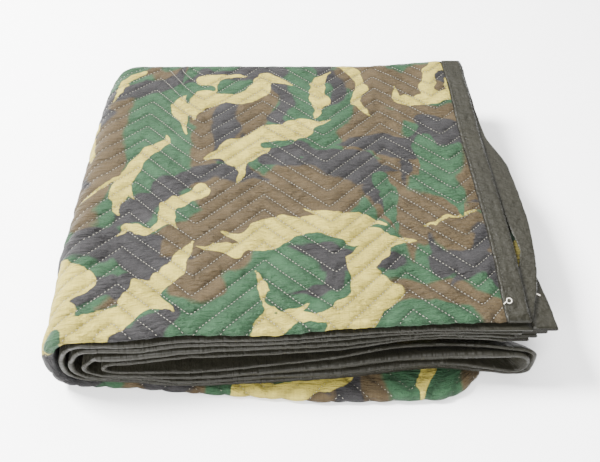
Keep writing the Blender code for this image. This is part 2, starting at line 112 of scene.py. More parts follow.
# Height of the plies at the front edge, from the bottom ply to the top ply
LEVEL = (0, 1, 2, 3, 4, 5, 7.5, 10, 11, 12, 13, 14, 15)
FRONT_HEIGHT = {
    -262: (2.0, 6.9, 12.0, 17.1, 22.2, 27.4, 46.0, 65.0, 69.5, 74.0, 78.5, 83.0, 87.5),
    -228: (2.0, 6.9, 12.0, 17.1, 22.2, 27.3, 36.5, 47.0, 57.0, 66.0, 74.0, 81.0, 87.0),
    -189: (2.0, 6.9, 12.0, 17.1, 22.2, 27.3, 35.0, 43.0, 54.0, 65.0, 73.5, 80.5, 86.5),
    -110: (2.0, 6.9, 12.4, 18.2, 24.2, 30.7, 40.0, 49.5, 58.5, 67.3, 75.0, 81.0, 86.5),
    -31: (2.0, 7.0, 13.5, 20.5, 28.0, 36.5, 45.0, 53.5, 60.8, 68.0, 75.0, 81.0, 86.5),
    47: (2.0, 8.0, 15.5, 24.0, 33.5, 44.5, 51.0, 57.0, 63.3, 69.8, 76.0, 82.0, 87.0),
    126: (2.0, 9.0, 17.5, 27.0, 38.0, 54.5, 58.5, 62.5, 67.6, 72.7, 77.8, 82.9, 88.0),
    166: (2.2, 9.2, 17.0, 25.6, 41.0, 55.3, 59.2, 63.1, 68.2, 73.3, 78.4, 83.5, 88.6),
    205: (2.0, 8.0, 14.2, 22.0, 44.0, 56.0, 59.8, 63.5, 68.6, 73.7, 78.8, 83.8, 88.9),
    244: (2.0, 7.4, 11.4, 17.0, 46.0, 53.8, 58.6, 63.5, 68.6, 73.7, 78.8, 83.8, 88.9),
}
WARP_BACK_Y = -198.0
WARP_FRONT_Y = -238.0

# Left turns, outermost first: distance in from the left side, and depth of the turn
TURN_INSET = (2.0, 9.0, 17.0, 26.0, 40.0, 60.0, 76.0, 84.0)
TURN_DEPTH = (34.0, 32.0, 30.0, 27.0, 21.0, 14.0, 8.6, 3.0)
TURN_SQUARENESS = 2.4
INNER_SQUARENESS = 2.1
RIGHT_SQUARENESS = 2.0

# Left side of the stack, seen from above
LEFT_SIDE = {
    "y": (-260, -214, -132, -29, 67, 129, 190, 218, 232),
    "x": (-262, -262, -263, -259, -255, -252, -245, -236, -228),
}

# Free ends on the right: how far each of the upper eight plies reaches, from front to back
FREE_END = {
    "y": (-250, -226, -205, -170, -120, -60, 20, 85, 160, 228),
    "ply 1": (250, 250, 251, 253, 256, 257, 257, 257, 257, 254),
    "ply 2": (252, 252, 259, 272, 282, 287, 284, 266, 262, 260),
    "ply 3": (283, 283, 283, 280, 276, 275, 274, 262, 260, 265),
    "ply 4": (270, 272, 273, 272, 270, 268, 268, 266, 266, 262),
    "ply 5": (262, 262, 264, 264, 262, 262, 264, 262, 262, 258),
    "ply 6": (254, 254, 256, 256, 256, 256, 258, 258, 256, 252),
    "ply 7": (246, 246, 248, 248, 250, 250, 252, 254, 252, 250),
    "ply 8": (244, 244, 246, 246, 246, 248, 248, 250, 250, 250),
}

# Right turn of the lower eight plies, innermost first, and the loose loops at its front
RIGHT_TURN_X = (235.0, 242.0, 248.5, 254.5)
LOOP_REACH = 27.0
LOOP_DEPTH = 11.0
LOOP_START_Y = -205.0
LOOP_LENGTH = 33.0

# Back edge of each run, and its slant across the stack
BACK_STAGGER = {"top": 0.0, "bottom": -3.0, "lower": 1.0, "upper": -4.0}
BACK_SLANT = 0.036
BACK_LEVEL_X = 104.0

# Raised back right corner: where it starts, how far it spreads and how high it lifts the top ply
CORNER_X = 126.0
CORNER_ACROSS = 104.0
CORNER_Y = 90.0
CORNER_ALONG = 127.0
CORNER_HEIGHT = 90.0
CORNER_LIFT = 10.0

# Centre of the folded stack as measured, moved to the middle of the part
CENTRE = np.array([13.756, -15.889, 0.0])

# Flat runs in the order of the path, and the nominal X of their sides
RUNS = ("top", "bottom", "lower", "upper")
LOWER_RIGHT_X = 236.0
OUTER_LEFT_X = -226.0
INNER_LEFT_X = -185.0
RIGHT_PART_X = 190.0
RIGHT_PART_LENGTH = 46.0
LEFT_PART_X = -120.0
LEFT_PART_LENGTH = 65.0

# Ply of a point within a run: its middle, and its swing in the turns
PLY_MIDDLE = (0.0, 1.5, 3.0, 2.5, 2.0, 1.5, 1.0)
PLY_SWING = (0.0, -1.5, 0.0, 0.5, 0.0, 0.5, 0.0)

# Size of the flat cloth, the last place on a path of the fold, and a small step on it
CLOTH_WIDTH = U_KNOTS[-1]
CLOTH_LENGTH = V_KNOTS[-1]
LAST = 7.0 - 1e-6
NORMAL_STEP = 0.004

# The print: loose patches of one repeat in the kind of a woodland camouflage.
# Each row has the middle's x and y, the length, the turn in degrees, the half width and the number of tips.
PRINT_WIDTH = 510.0
PRINT_LENGTH = 500.0
PRINT_DROP = 307.0
PRINT_ORIGIN_X = 254.0
PRINT_ORIGIN_Y = 217.0
PRINT_PATCHES = {
    "brown": (
        (-240, 60, 170, 88, 28, 1), (-105, 70, 90, 90, 26, 1), (-50, 120, 60, 90, 28, 0),
        (-10, -20, 120, -8, 44, 2), (-90, -80, 110, 60, 46, 1), (-105, -150, 50, 90, 24, 0),
        (-180, 210, 50, 0, 12, 1), (160, 190, 100, -15, 37, 2), (145, 100, 140, 90, 30, 1),
        (200, 115, 60, 0, 22, 1), (145, -30, 110, 88, 24, 1), (175, -95, 110, -35, 38, 2),
        (230, 25, 150, 90, 14, 1), (170, -205, 110, -15, 18, 2), (95, 60, 60, 80, 13, 1),
        (-265, -70, 70, 80, 12, 1), (30, -5, 60, 0, 24, 1), (-270, 180, 60, 70, 13, 1),
    ),
    "grey": (
        (-200, 180, 80, 20, 20, 2), (-60, 205, 100, 5, 13, 1), (-80, 90, 100, 92, 14, 1),
        (-20, 150, 80, 105, 13, 2), (60, 190, 60, 110, 14, 1), (35, 30, 110, -15, 22, 2),
        (-105, 0, 80, 15, 15, 2), (-165, -50, 60, 30, 17, 1), (-195, -120, 70, -20, 25, 3),
        (-205, -165, 50, 10, 14, 1), (-170, -215, 80, 10, 14, 1), (75, -135, 80, -15, 13, 1),
        (45, -165, 40, 50, 10, 1), (150, 64, 110, 0, 19, 2), (205, -160, 70, -20, 20, 3),
        (225, -115, 30, 80, 12, 1), (95, -15, 60, -50, 13, 2), (235, 200, 30, 90, 9, 0),
        # The first patch on the next row is dark print laid at the front of the left turn, painted shade
        # where the stack's lower left corner turns under
        (-282, -222, 60, 0, 17, 0), (-250, 125, 60, 75, 12, 1), (140, 25, 40, 95, 8, 1),
    ),
    "tan": (
        (-125, 160, 80, 65, 15, 2), (-75, 170, 110, 25, 14, 2), (-20, 70, 90, 25, 22, 2),
        (-50, 45, 40, 55, 17, 1), (45, 160, 50, 80, 11, 2), (90, 180, 70, 100, 10, 2),
        (220, 180, 60, 75, 13, 2), (246, 172, 46, 90, 9, 0), (195, 150, 60, 8, 10, 1),
        (-185, 15, 100, 65, 9, 4),
        (-125, -45, 60, 40, 10, 1), (-165, -75, 50, 10, 5, 2), (-238, -175, 80, 95, 16, 1),
        (-200, -195, 90, 20, 19, 2), (-155, -160, 60, 25, 14, 2), (20, -90, 110, 5, 21, 2),
        (75, -100, 60, -40, 15, 2), (-45, -110, 50, 25, 11, 2), (75, -180, 80, 75, 20, 1),
        (48, -214, 60, 12, 8, 1), (-40, -205, 60, 90, 7, 3), (-20, -220, 50, 10, 8, 2),
        (200, -80, 60, 28, 2.5, 1), (-228, 185, 40, 60, 6, 1),
        (-225, -15, 50, 50, 3, 1), (258, -110, 50, 95, 8, 1),
    ),
    "green": (
        (-118, 175, 20, 15, 9, 1), (190, 5, 80, 105, 20, 1), (-30, -195, 10, 45, 5, 0),
        (-238, -228, 20, 60, 8, 1), (15, 25, 0.5, 0, 1, 0), (115, -40, 60, 100, 11, 1),
        (-10, 60, 30, 0, 7, 0),
    ),
}

# Stretch of the upper end where the tape sits back and leaves the print bare
BARE_PLACE = 1007.0
BARE_LENGTH = 32.0
BARE_SPREAD = 1.3
BARE_DEPTH = 14.0
BARE_ACROSS = 60.0

# Waves that bend the print: size and shift of each
PRINT_WARP = ((60.0, 9.0), (26.0, 5.0), (11.0, 2.2))

# Limit of the print's fields, and the width over which the parts of a patch run together
FIELD_LIMIT = 24.0
PRINT_BLEND = 5.0

# Fineness of the cloth's mesh
PEAK_STEPS = 30
ROW_PARTS = (0.0, 0.07, 0.16, 0.27, 0.38, 0.5, 0.62, 0.73, 0.84, 0.93)
FINE_ROLL = 3.4
FINE_BACK = 4.5
FINE_UNDER = 5.5
COARSE_ACROSS = 17.0
COARSE_ALONG = 20.0
EDGE_ZONE = 44.0
EDGE_STEP = 5.5

# Parts of each turn of the fold, across and along, and columns near the bound edges
TURN_STEPS = {1: 22, 3: 14, 5: 12}
TURN_ROWS = {1: 10, 3: 8, 5: 8}
EDGE_COLUMNS = (8.0, 16.0, BINDING_WIDTH, BINDING_WIDTH + 5.0, BINDING_WIDTH + 10.0)
LEAST_STEP = 1.05

# Finer parts of the flat cloth: across from and to, along from and to, step across and step along
FINE_ZONES = {
    "front roll": (U_KNOTS[2] + 10.0, U_KNOTS[3] + 20.0, V_KNOTS[3] - 8.0, V_KNOTS[4] + 42.0, FINE_ROLL, 1.6),
    "underside": (
        U_KNOTS[2] + 12.0, U_KNOTS[3] - 4.0, V_KNOTS[2] + 4.0, V_KNOTS[3] - 12.0, FINE_UNDER, FINE_UNDER,
    ),
    "right side": (
        U_KNOTS[3] + 0.6, U_KNOTS[4] + 1.0, V_KNOTS[2] + 2.0, V_KNOTS[3] - 11.0, FINE_ROLL, FINE_ROLL,
    ),
    "back of the lower runs": (
        U_KNOTS[2] + 12.0, CLOTH_WIDTH - 30.0, V_KNOTS[1] + 1.0, V_KNOTS[2] - 1.0, FINE_BACK * 2, FINE_BACK,
    ),
    "back of the top run": (
        BINDING_WIDTH + 4.0, U_KNOTS[2] + 8.0, V_KNOTS[1] + 1.0, V_KNOTS[2] - 10.0, FINE_BACK, FINE_BACK,
    ),
}
QUILTED_BOX = (BINDING_WIDTH + 2.0, U_KNOTS[2] + 6.0, V_KNOTS[2] - 8.0, V_KNOTS[4] - 1.0)

# Relief of the quilting
UNDER_GROOVE = 1.1
ROW_WOBBLE = 1.7
PUCKER_DEPTH = 1.5
PUCKER_PITCH = 6.4
PEAK_SOFTNESS = 0.025
PILLOW_POWER = 0.68
PLY_CLEARANCE = 0.45
TURN_ROOM = 7.2
UNDER_TAPE_THINNER = 0.3
BACK_QUILTING = 0.75
PUFF_UNEVEN = 0.22
PUFF_TOP = 0.72
PUFF_FRONT = 1.12
GROOVE_POWER = 1.4
QUILTING_FADE = 9.0
SHARP = 1e-6

# Faces where the quilting stands out: how far, then on each way of the fold's path where it
# starts, how soon it is full, where it ends and how soon it fades
QUILTED_FACES = {
    "top and left": (1.0, (-1.0, 0.1, 2.04, 0.1), (1.9, 0.12, 3.8, 0.45)),
    "front roll": (0.8, (2.02, SHARP, 3.1, SHARP), (3.12, 0.3, 4.1, 0.06)),
    "right side": (0.9, (3.02, 0.2, 3.92, 0.25), (2.0, 0.06, 2.96, 0.06)),
}

# Parts of the flat cloth whose rows of stitches are sewn: across from and to, along from and to
SEWN_PARTS = (
    (BINDING_WIDTH + 1.0, U_KNOTS[2] - 3.0, V_KNOTS[2] + 0.4, V_KNOTS[3] + 5.0),
    (U_KNOTS[2] + 30.0, U_KNOTS[3] - 14.0, V_KNOTS[3] + 2.0, V_KNOTS[4] + 36.0),
    (U_KNOTS[3] + 2.0, U_KNOTS[4] - 3.0, V_KNOTS[2] + 2.0, V_KNOTS[3] - 6.0),
    (BINDING_WIDTH + 30.0, CLOTH_WIDTH - 40.0, V_KNOTS[1] + 6.0, V_KNOTS[2] - 0.4),
)


def ease(t):
    t = np.clip(t, 0.0, 1.0)
    return t * t * (3.0 - 2.0 * t)


def mix(a, b, t):
    return a + (b - a) * t


def bell(x, place, width):
    """One at a place, fading to nought on both sides of it."""
    return np.exp(-((x - place) / width) ** 2)


def window(x, start, rise, stop, fall):
    """One between two places, eased in after the start and out before the end."""
    return ease((x - start) / rise) * ease((stop - x) / fall)


def lattice_value(i, j, seed):
    """Repeatable value from nought to one at a point of a lattice."""
    h = np.sin(i * 127.1 + j * 311.7 + seed * 74.7) * 43758.5453
    return h - np.floor(h)


def soft_noise(x, y, seed):
    """Smooth noise from minus one to one."""
    i = np.floor(x)
    j = np.floor(y)
    s = ease(x - i)
    t = ease(y - j)
    low = mix(lattice_value(i, j, seed), lattice_value(i + 1, j, seed), s)
    high = mix(lattice_value(i, j + 1, seed), lattice_value(i + 1, j + 1, seed), s)
    return 2.0 * mix(low, high, t) - 1.0


def smooth_table(x, places, values):
    """Smooth curve through a table with no overshoot; a row has one value, or one for each point."""
    x = np.asarray(x, float)
    places = np.asarray(places, float)
    values = np.asarray(values, float)
    if values.ndim == 1:
        values = values.reshape((-1,) + (1,) * x.ndim)
    values = np.broadcast_to(values, (len(places),) + x.shape)
    steps = np.diff(places).reshape((-1,) + (1,) * x.ndim)
    slopes = np.diff(values, axis=0) / steps
    product = slopes[:-1] * slopes[1:]
    total = np.where(product > 0.0, slopes[:-1] + slopes[1:], 1.0)
    middle = np.where(product > 0.0, 2.0 * product / total, 0.0)
    tangents = np.concatenate([slopes[:1], middle, slopes[-1:]])
    x = np.clip(x, places[0], places[-1])
    k = np.clip(np.searchsorted(places, x, side="right") - 1, 0, len(places) - 2)
    step = places[k + 1] - places[k]
    t = (x - places[k]) / step
    low, high = (np.take_along_axis(values, (k + n)[None], 0)[0] for n in (0, 1))
    m0, m1 = (np.take_along_axis(tangents, (k + n)[None], 0)[0] * step for n in (0, 1))
    rise = ease(t)
    return mix(low, high, rise) + t * (1.0 - t) ** 2 * m0 - t * t * (1.0 - t) * m1


def nominal_x(run, t):
    """Nominal X of a flat run at a fraction t of its length."""
    right = TOP_RIGHT_X if run in ("top", "upper") else LOWER_RIGHT_X
    left = OUTER_LEFT_X if run in ("top", "bottom") else INNER_LEFT_X
    if run in ("top", "lower"):
        return mix(right, left, t)
    return mix(left, right, t)


def fraction_at(run, x):
    """Fraction of a flat run's length at a nominal X."""
    start = nominal_x(run, 0.0)
    return (x - start) / (nominal_x(run, 1.0) - start)


def along_path(table):
    """Join one table of the four runs into one list along the path."""
    pairs = []
    for index, run in enumerate(RUNS):
        for x, value in zip(STATIONS, table[run]):
            f = fraction_at(run, x)
            if 0.02 <= f <= 0.98:
                pairs.append((2 * index + f, value))
        for end in (0.0, 1.0):
            value = float(np.interp(nominal_x(run, end), STATIONS, table[run]))
            pairs.append((2 * index + end, value))
    pairs.sort()
    return np.array([p[0] for p in pairs]), np.array([p[1] for p in pairs], float)


FOLD_PATH = along_path(FRONT_FOLD)
SECOND_PATH = along_path(FRONT_SECOND)
FIRST_PATH = along_path(FRONT_FIRST)
BACK_PATH = (
    np.arange(8.0),
    np.array([
        BACK_STAGGER[run] + BACK_SLANT * (nominal_x(run, end) - BACK_LEVEL_X)
        for run in RUNS
        for end in (0.0, 1.0)
    ]),
)


def y_and_level(a, b):
    """Depth in the stack and ply number within a run, of a point of the cloth."""
    s = np.clip(np.floor(b), 0, 6).astype(int)
    t = b - s
    nose = NOSE_RADIUS * (1.0 + FRONT_SWELL * window(a, *FRONT_SWELL_PLACE))
    fold = smooth_table(a, *FOLD_PATH) + nose
    second = smooth_table(a, *SECOND_PATH)
    first = smooth_table(a, *FIRST_PATH)
    outer = BACK_Y + np.interp(a, *BACK_PATH) - BACK_OUTER_REACH
    inner = outer + 1.0
    turn = np.sin(math.pi * t)
    y = np.select([s == k for k in range(7)], [
        mix(first, outer, t),
        outer + BACK_OUTER_REACH * turn,
        mix(outer, fold, t),
        fold - nose * turn,
        mix(fold, inner, t),
        inner + BACK_INNER_REACH * turn,
        mix(inner, second, t),
    ])
    return y, np.take(PLY_MIDDLE, s) + np.take(PLY_SWING, s) * np.cos(math.pi * t)


def free_end_x(ply, y):
    """Reach of a free end on the right, for a ply counted from the top."""
    columns = np.stack([smooth_table(y, FREE_END["y"], FREE_END["ply %d" % n]) for n in range(1, 9)])
    ply = np.clip(ply, 1.0, 8.0)
    low = np.clip(np.floor(ply), 1, 7).astype(int)
    first, second = (np.take_along_axis(columns, (low - 1 + n)[None], 0)[0] for n in (0, 1))
    return mix(first, second, ply - low)


def rounded(t, squareness):
    """Half turn from the upper ply to the lower one: sideways part and upright part."""
    side = np.abs(np.sin(math.pi * t)) ** (2.0 / squareness)
    c = np.cos(math.pi * t)
    return side, np.sign(c) * np.abs(c) ** (2.0 / squareness)


def x_and_ply(a, level, y):
    """Sideways place and height in plies, of a point of the cloth."""
    s = np.clip(np.floor(a), 0, 6)
    t = a - s
    left_x = smooth_table(y, LEFT_SIDE["y"], LEFT_SIDE["x"])
    numbers = np.arange(8.0)

    def left_turn(order):
        depth = np.interp(order, numbers, TURN_DEPTH)
        return depth, left_x + np.interp(order, numbers, TURN_INSET) + depth

    def flat(run, right, left):
        x = nominal_x(run, t)
        sides = nominal_x(run, 0.0), nominal_x(run, 1.0)
        x = x + (right - max(sides)) * ease((x - RIGHT_PART_X) / RIGHT_PART_LENGTH)
        return x + (left - min(sides)) * ease((LEFT_PART_X - x) / LEFT_PART_LENGTH)

    depth_out, start_out = left_turn(3.0 - level)
    depth_in, start_in = left_turn(4.0 + level)
    loose = np.clip((LOOP_START_Y - y) / LOOP_LENGTH, 0.0, 1.1) * (level <= 1.01)
    depth_right = (0.5 + level) * PLY_PITCH + LOOP_DEPTH * loose
    start_right = np.interp(level, np.arange(4.0), RIGHT_TURN_X) + LOOP_REACH * loose - depth_right
    side_out, upright_out = rounded(t, TURN_SQUARENESS)
    side_in, upright_in = rounded(t, INNER_SQUARENESS)
    side_right, upright_right = rounded(t, RIGHT_SQUARENESS)
    case = [s == k for k in range(7)]
    x = np.select(case, [
        flat("top", free_end_x(4.0 - level, y), start_out),
        start_out - depth_out * side_out,
        flat("bottom", start_right, start_out),
        start_right + depth_right * side_right,
        flat("lower", start_right, start_in),
        start_in - depth_in * side_in,
        flat("upper", free_end_x(5.0 + level, y), start_in),
    ])
    ply = np.select(case, [
        12.0 + level,
        7.5 + (4.5 + level) * upright_out,
        3.0 - level,
        3.5 - (0.5 + level) * upright_right,
        4.0 + level,
        7.5 - (3.5 - level) * upright_in,
        11.0 - level,
    ])
    return x, ply


def front_height(ply, x):
    """Height of a ply at the front edge of the stack."""
    places = sorted(FRONT_HEIGHT)
    rows = np.stack([smooth_table(ply, LEVEL, FRONT_HEIGHT[p]) for p in places])
    return smooth_table(np.clip(x, places[0], places[-1]), places, rows)


def settle(x, y, ply):
    """Height of a point: even plies inside the stack, measured ones at the front."""
    even = FIRST_PLY_Z + PLY_PITCH * ply
    share = ease((WARP_BACK_Y - y) / (WARP_BACK_Y - WARP_FRONT_Y))
    z = mix(even, front_height(ply, x), share)
    high = np.clip(z / CORNER_HEIGHT, 0.0, 1.1)
    lifted = np.clip((x - CORNER_X) / CORNER_ACROSS, 0.0, 1.0)
    return z + CORNER_LIFT * high * high * lifted * np.clip((y - CORNER_Y) / CORNER_ALONG, 0.0, 1.2)


def mid_surface(a, b):
    """Point halfway through the cloth."""
    y, level = y_and_level(a, b)
    x, ply = x_and_ply(a, level, y)
    return np.stack([x, y, settle(x, y, ply)], axis=-1)


def surface_normal(a, b):
    """Direction out of the cloth's outer face, from small steps both ways."""
    a0, a1 = np.clip(a - NORMAL_STEP, 0.0, 7.0), np.clip(a + NORMAL_STEP, 0.0, LAST)
    b0, b1 = np.clip(b - NORMAL_STEP, 0.0, 7.0), np.clip(b + NORMAL_STEP, 0.0, LAST)
    across = mid_surface(a1, b) - mid_surface(a0, b)
    along = mid_surface(a, b1) - mid_surface(a, b0)
    normal = np.cross(across, along)
    return normal / np.linalg.norm(normal, axis=-1, keepdims=True)


def path_a(u):
    """Place on the fold's path across the stack, of a place on the flat cloth."""
    return np.minimum(np.interp(u, U_KNOTS, np.arange(8.0)), LAST)


def path_b(v):
    """Place on the fold's path along the stack, of a place on the flat cloth."""
    return np.minimum(np.interp(v, V_KNOTS, np.arange(8.0)), LAST)


def zigzag(u):
    """Offset of a row of quilting along v at a place across the cloth."""
    phase = ((u - ZIGZAG_PEAK_U) / ZIGZAG_PERIOD) % 1.0
    swing = np.sqrt((2.0 * phase - 1.0) ** 2 + PEAK_SOFTNESS ** 2)
    return ZIGZAG_HEIGHT * (1.0 - swing)


def wobble(u, v):
    """Wander of the sewn rows along v."""
    return ROW_WOBBLE * soft_noise(u / 74.0, v / 31.0, 3.0)


def row_at(u, v):
    """Number of the row of stitches, whole on a row."""
    return (v + wobble(u, v) - V_KNOTS[2] - FIRST_ROW_V - zigzag(u)) / ROW_PITCH


def row_v(row, u):
    """Place along v of a row of stitches."""
    v = V_KNOTS[2] + FIRST_ROW_V + zigzag(u) + row * ROW_PITCH
    return v - wobble(u, v - wobble(u, v))


def pillow(u, v):
    """Nought on a row of stitches and one halfway between two rows."""
    return np.abs(np.sin(math.pi * row_at(u, v))) ** PILLOW_POWER


def pucker(u, v):
    """Fine creases that run from one row of stitches to the next."""
    phase = ((u - ZIGZAG_PEAK_U) / (0.5 * ZIGZAG_PERIOD)) % 1.0
    leg = np.floor((u - ZIGZAG_PEAK_U) / (0.5 * ZIGZAG_PERIOD))
    way = np.where(leg % 2 == 0, 1.0, -1.0)
    along = 0.5 * u + 0.87 * way * v
    row = np.floor(row_at(u, v))
    fine = soft_noise(along / PUCKER_PITCH, row * 7.3 + 0.7 * row_at(u, v), 11.0 + 3.0 * way)
    broad = soft_noise(along / (2.6 * PUCKER_PITCH), row * 5.1, 17.0 - 2.0 * way)
    clear = np.minimum(1.0, 12.0 * np.minimum(phase, 1.0 - phase))
    return (0.75 * fine + 0.5 * broad) * clear * (0.7 + 0.5 * soft_noise(u / 63.0, v / 47.0, 23.0))


def edge_distance(u, v):
    """Distance on the flat cloth from its nearest edge."""
    return np.minimum(np.minimum(u, CLOTH_WIDTH - u), np.minimum(v, CLOTH_LENGTH - v))


def quilt_share(a, b, u, v):
    """How far the quilting stands out: full on the faces that show, none between the plies."""
    back = np.where((b > 1.0) & (b < 2.0), np.sin(math.pi * np.clip(b - 1.0, 0.0, 1.0)) ** 2, 0.0)
    share = BACK_QUILTING * back
    for most, across, along in QUILTED_FACES.values():
        share = np.maximum(share, most * window(a, *across) * window(b, *along))
    return share * ease((edge_distance(u, v) - BINDING_WIDTH) / QUILTING_FADE)


def ply_gap(a, b):
    """Room between a point of the cloth and the nearer of the plies above and below it."""
    y, level = y_and_level(a, b)
    x, ply = x_and_ply(a, level, y)
    here = settle(x, y, ply)
    above = settle(x, y, ply + 1.0) - here
    below = here - settle(x, y, ply - 1.0)
    normal = surface_normal(a, b)
    lean = np.clip(np.abs(normal[..., 2]), 0.75, 1.0)
    flare = np.sqrt(np.clip(1.0 - normal[..., 1] ** 2, 0.25, 1.0))
    turning = (a > 1.0) & (a < 2.0) | (a > 3.0) & (a < 4.0) | (a > 5.0) & (a < 6.0)
    side = np.abs(np.sin(math.pi * a)) ** 2 * turning
    return mix(np.minimum(above, below) * lean, TURN_ROOM * flare, side)


def plain_half(a, b, u, v):
    """Half the thickness of the cloth where the quilting doesn't stand out."""
    edge_u = np.minimum(u, CLOTH_WIDTH - u)
    edge_v = np.minimum(v, CLOTH_LENGTH - v)
    full = np.clip(0.5 * ply_gap(a, b) - PLY_CLEARANCE - BINDING_GAP - BINDING_WALL, EDGE_LEAST, EDGE_MOST)
    half = mix(CLOTH_HALF, full, ease((EDGE_TAPER[0] - edge_v) / EDGE_TAPER[1]))
    return mix(half, np.minimum(half, EDGE_HALF), ease((SIDE_TAPER[0] - edge_u) / SIDE_TAPER[1]))


def cloth_point(a, b, u, v, face):
    """Point of the outer face (1) or the inner face (-1) of the cloth."""
    middle = mid_surface(a, b)
    normal = surface_normal(a, b)
    half = plain_half(a, b, u, v)
    half = half - UNDER_TAPE_THINNER * ease((BINDING_WIDTH + 1.0 - edge_distance(u, v)) / 3.0)
    if face < 0:
        return middle - normal * half[..., None], half * 0.0
    share = quilt_share(a, b, u, v)
    rise = pillow(u, v)
    uneven = 1.0 + PUFF_UNEVEN * soft_noise(u / 41.0, v / 27.0, 5.0)
    strength = mix(PUFF_TOP, PUFF_FRONT, ease(b - 2.0)) * uneven
    raised = PINCHED_HALF + (PILLOW_RISE + PILLOW_LIFT) * rise * strength
    raised = raised + PUCKER_DEPTH * pucker(u, v) * rise * strength
    point = middle + normal * mix(half, raised, share)[..., None]
    on_table = (a >= 2.0) & (a <= 3.0) & (b >= 2.0) & (b <= 3.0)
    flat = window(a, 2.0, 0.06, 3.0, 0.06) * window(b, 2.0, 0.08, 3.0, 0.05)
    under = UNDER_GROOVE * (1.0 - rise) ** GROOVE_POWER * flat
    point[..., 2] = np.where(on_table, under, np.maximum(point[..., 2], 0.0))
    return point, rise


def chance(seed, n):
    """Repeatable number from nought to one."""
    return float(lattice_value(seed, n, 5.0))


def patch_strokes(patch, seed):
    """Tapered strokes of one patch: a bent, uneven middle and pointed tips, shaped by chance."""
    x, y, length, turn, width, tips = patch
    turn = math.radians(turn)
    way = np.array([math.cos(turn), math.sin(turn)])
    side = np.array([-way[1], way[0]])
    bend = (chance(seed, 1) - 0.5) * 0.5 * length
    spots = []
    for k in range(5):
        t = 0.25 * k - 0.5
        lift = bend * math.cos(math.pi * t) + (chance(seed, 10 + k) - 0.5) * 0.7 * width
        spots.append(np.array([x, y]) + way * length * t + side * lift)
    radii = [width * (0.62 + 0.62 * chance(seed, 20 + k)) for k in range(5)]
    strokes = [(*p, *q, r0, r1) for p, q, r0, r1 in zip(spots, spots[1:], radii, radii[1:])]
    for k in range(tips):
        start = spots[(0, 4, 2, 1)[k]]
        swing = turn + math.pi * (k != 1) + (chance(seed, 30 + k) - 0.5) * 2.4 + 0.9 * (k > 1)
        reach = (1.1 + 1.3 * chance(seed, 40 + k)) * (width + 6.0)
        end = start + reach * np.array([math.cos(swing), math.sin(swing)])
        strokes.append((*start, *end, 0.7 * width, 1.2))
    return strokes


def print_fields(u, v):
    """Signed distance inside each colour of the print, and inside the bound edge, in millimetres."""
    x = PRINT_ORIGIN_X - u
    y = PRINT_ORIGIN_Y - (v - V_KNOTS[2]) * 1.02
    for n, (size, shift) in enumerate(PRINT_WARP):
        x = x + shift * soft_noise(u / size, v / size, 21.0 + n)
        y = y + shift * soft_noise(u / size, v / size, 31.0 + n)
    fields = {}
    for number, (colour, patches) in enumerate(PRINT_PATCHES.items()):
        field = np.full(u.shape, -FIELD_LIMIT)
        strokes = [s for k, patch in enumerate(patches) for s in patch_strokes(patch, 7.0 * number + 3.3 * k)]
        for x0, y0, x1, y1, r0, r1 in strokes:
            cx, cy = 0.5 * (x0 + x1), 0.5 * (y0 + y1)
            column = np.round((x - cx) / PRINT_WIDTH)
            px = x - cx - column * PRINT_WIDTH
            py = (y - cy - column * PRINT_DROP + 0.5 * PRINT_LENGTH) % PRINT_LENGTH - 0.5 * PRINT_LENGTH
            dx, dy = 0.5 * (x1 - x0), 0.5 * (y1 - y0)
            t = np.clip((px * dx + py * dy) / (dx * dx + dy * dy + 1e-9), -1.0, 1.0)
            inside = mix(r0, r1, 0.5 * (t + 1.0)) - np.hypot(px - t * dx, py - t * dy)
            blend = np.clip(0.5 + 0.5 * (inside - field) / PRINT_BLEND, 0.0, 1.0)
            field = mix(field, inside, blend) + 0.5 * PRINT_BLEND * blend * (1.0 - blend)
        fields[colour] = np.clip(field, -FIELD_LIMIT, FIELD_LIMIT)
    bare = BARE_DEPTH * bell(v, BARE_PLACE, BARE_SPREAD * BARE_LENGTH) * (u < BARE_ACROSS)
    fields["edge"] = np.clip(BINDING_WIDTH + 1.0 - edge_distance(u, v) - bare, -FIELD_LIMIT, FIELD_LIMIT)
    return fields


def steps_between(low, high, step):
    count = max(1, int(round((high - low) / step)))
    return [low + (high - low) * k / count for k in range(count + 1)]


def coarse_columns():
    """Places across the cloth of the coarse net's lines."""
    places = [0.0, *EDGE_COLUMNS] + [CLOTH_WIDTH - d for d in EDGE_COLUMNS]
    for run in range(7):
        low, high = U_KNOTS[run], U_KNOTS[run + 1]
        step = (high - low) / TURN_STEPS[run] if run in TURN_STEPS else COARSE_ACROSS
        places += steps_between(low, high, step)
    return thin_out(places)


def coarse_rows():
    """Places along the cloth of the coarse net's lines."""
    places = []
    for run in range(7):
        low, high = V_KNOTS[run], V_KNOTS[run + 1]
        if run in TURN_ROWS:
            places += steps_between(low, high, (high - low) / TURN_ROWS[run])
        elif run in (0, 4):
            places += steps_between(low, low + EDGE_ZONE, EDGE_STEP)
            places += steps_between(low + EDGE_ZONE, high, COARSE_ALONG)
        else:
            places += steps_between(low, high - EDGE_ZONE, COARSE_ALONG)
            places += steps_between(high - EDGE_ZONE, high, EDGE_STEP)
    return thin_out(places)


def thin_out(places):
    """Sorted places with near doubles dropped, the first and the last kept."""
    kept = []
    for p in sorted(places):
        if not kept or p - kept[-1] > LEAST_STEP:
            kept.append(p)
    last = max(places)
    if last - kept[-1] > 1e-6:
        kept[-1] = last
    return kept


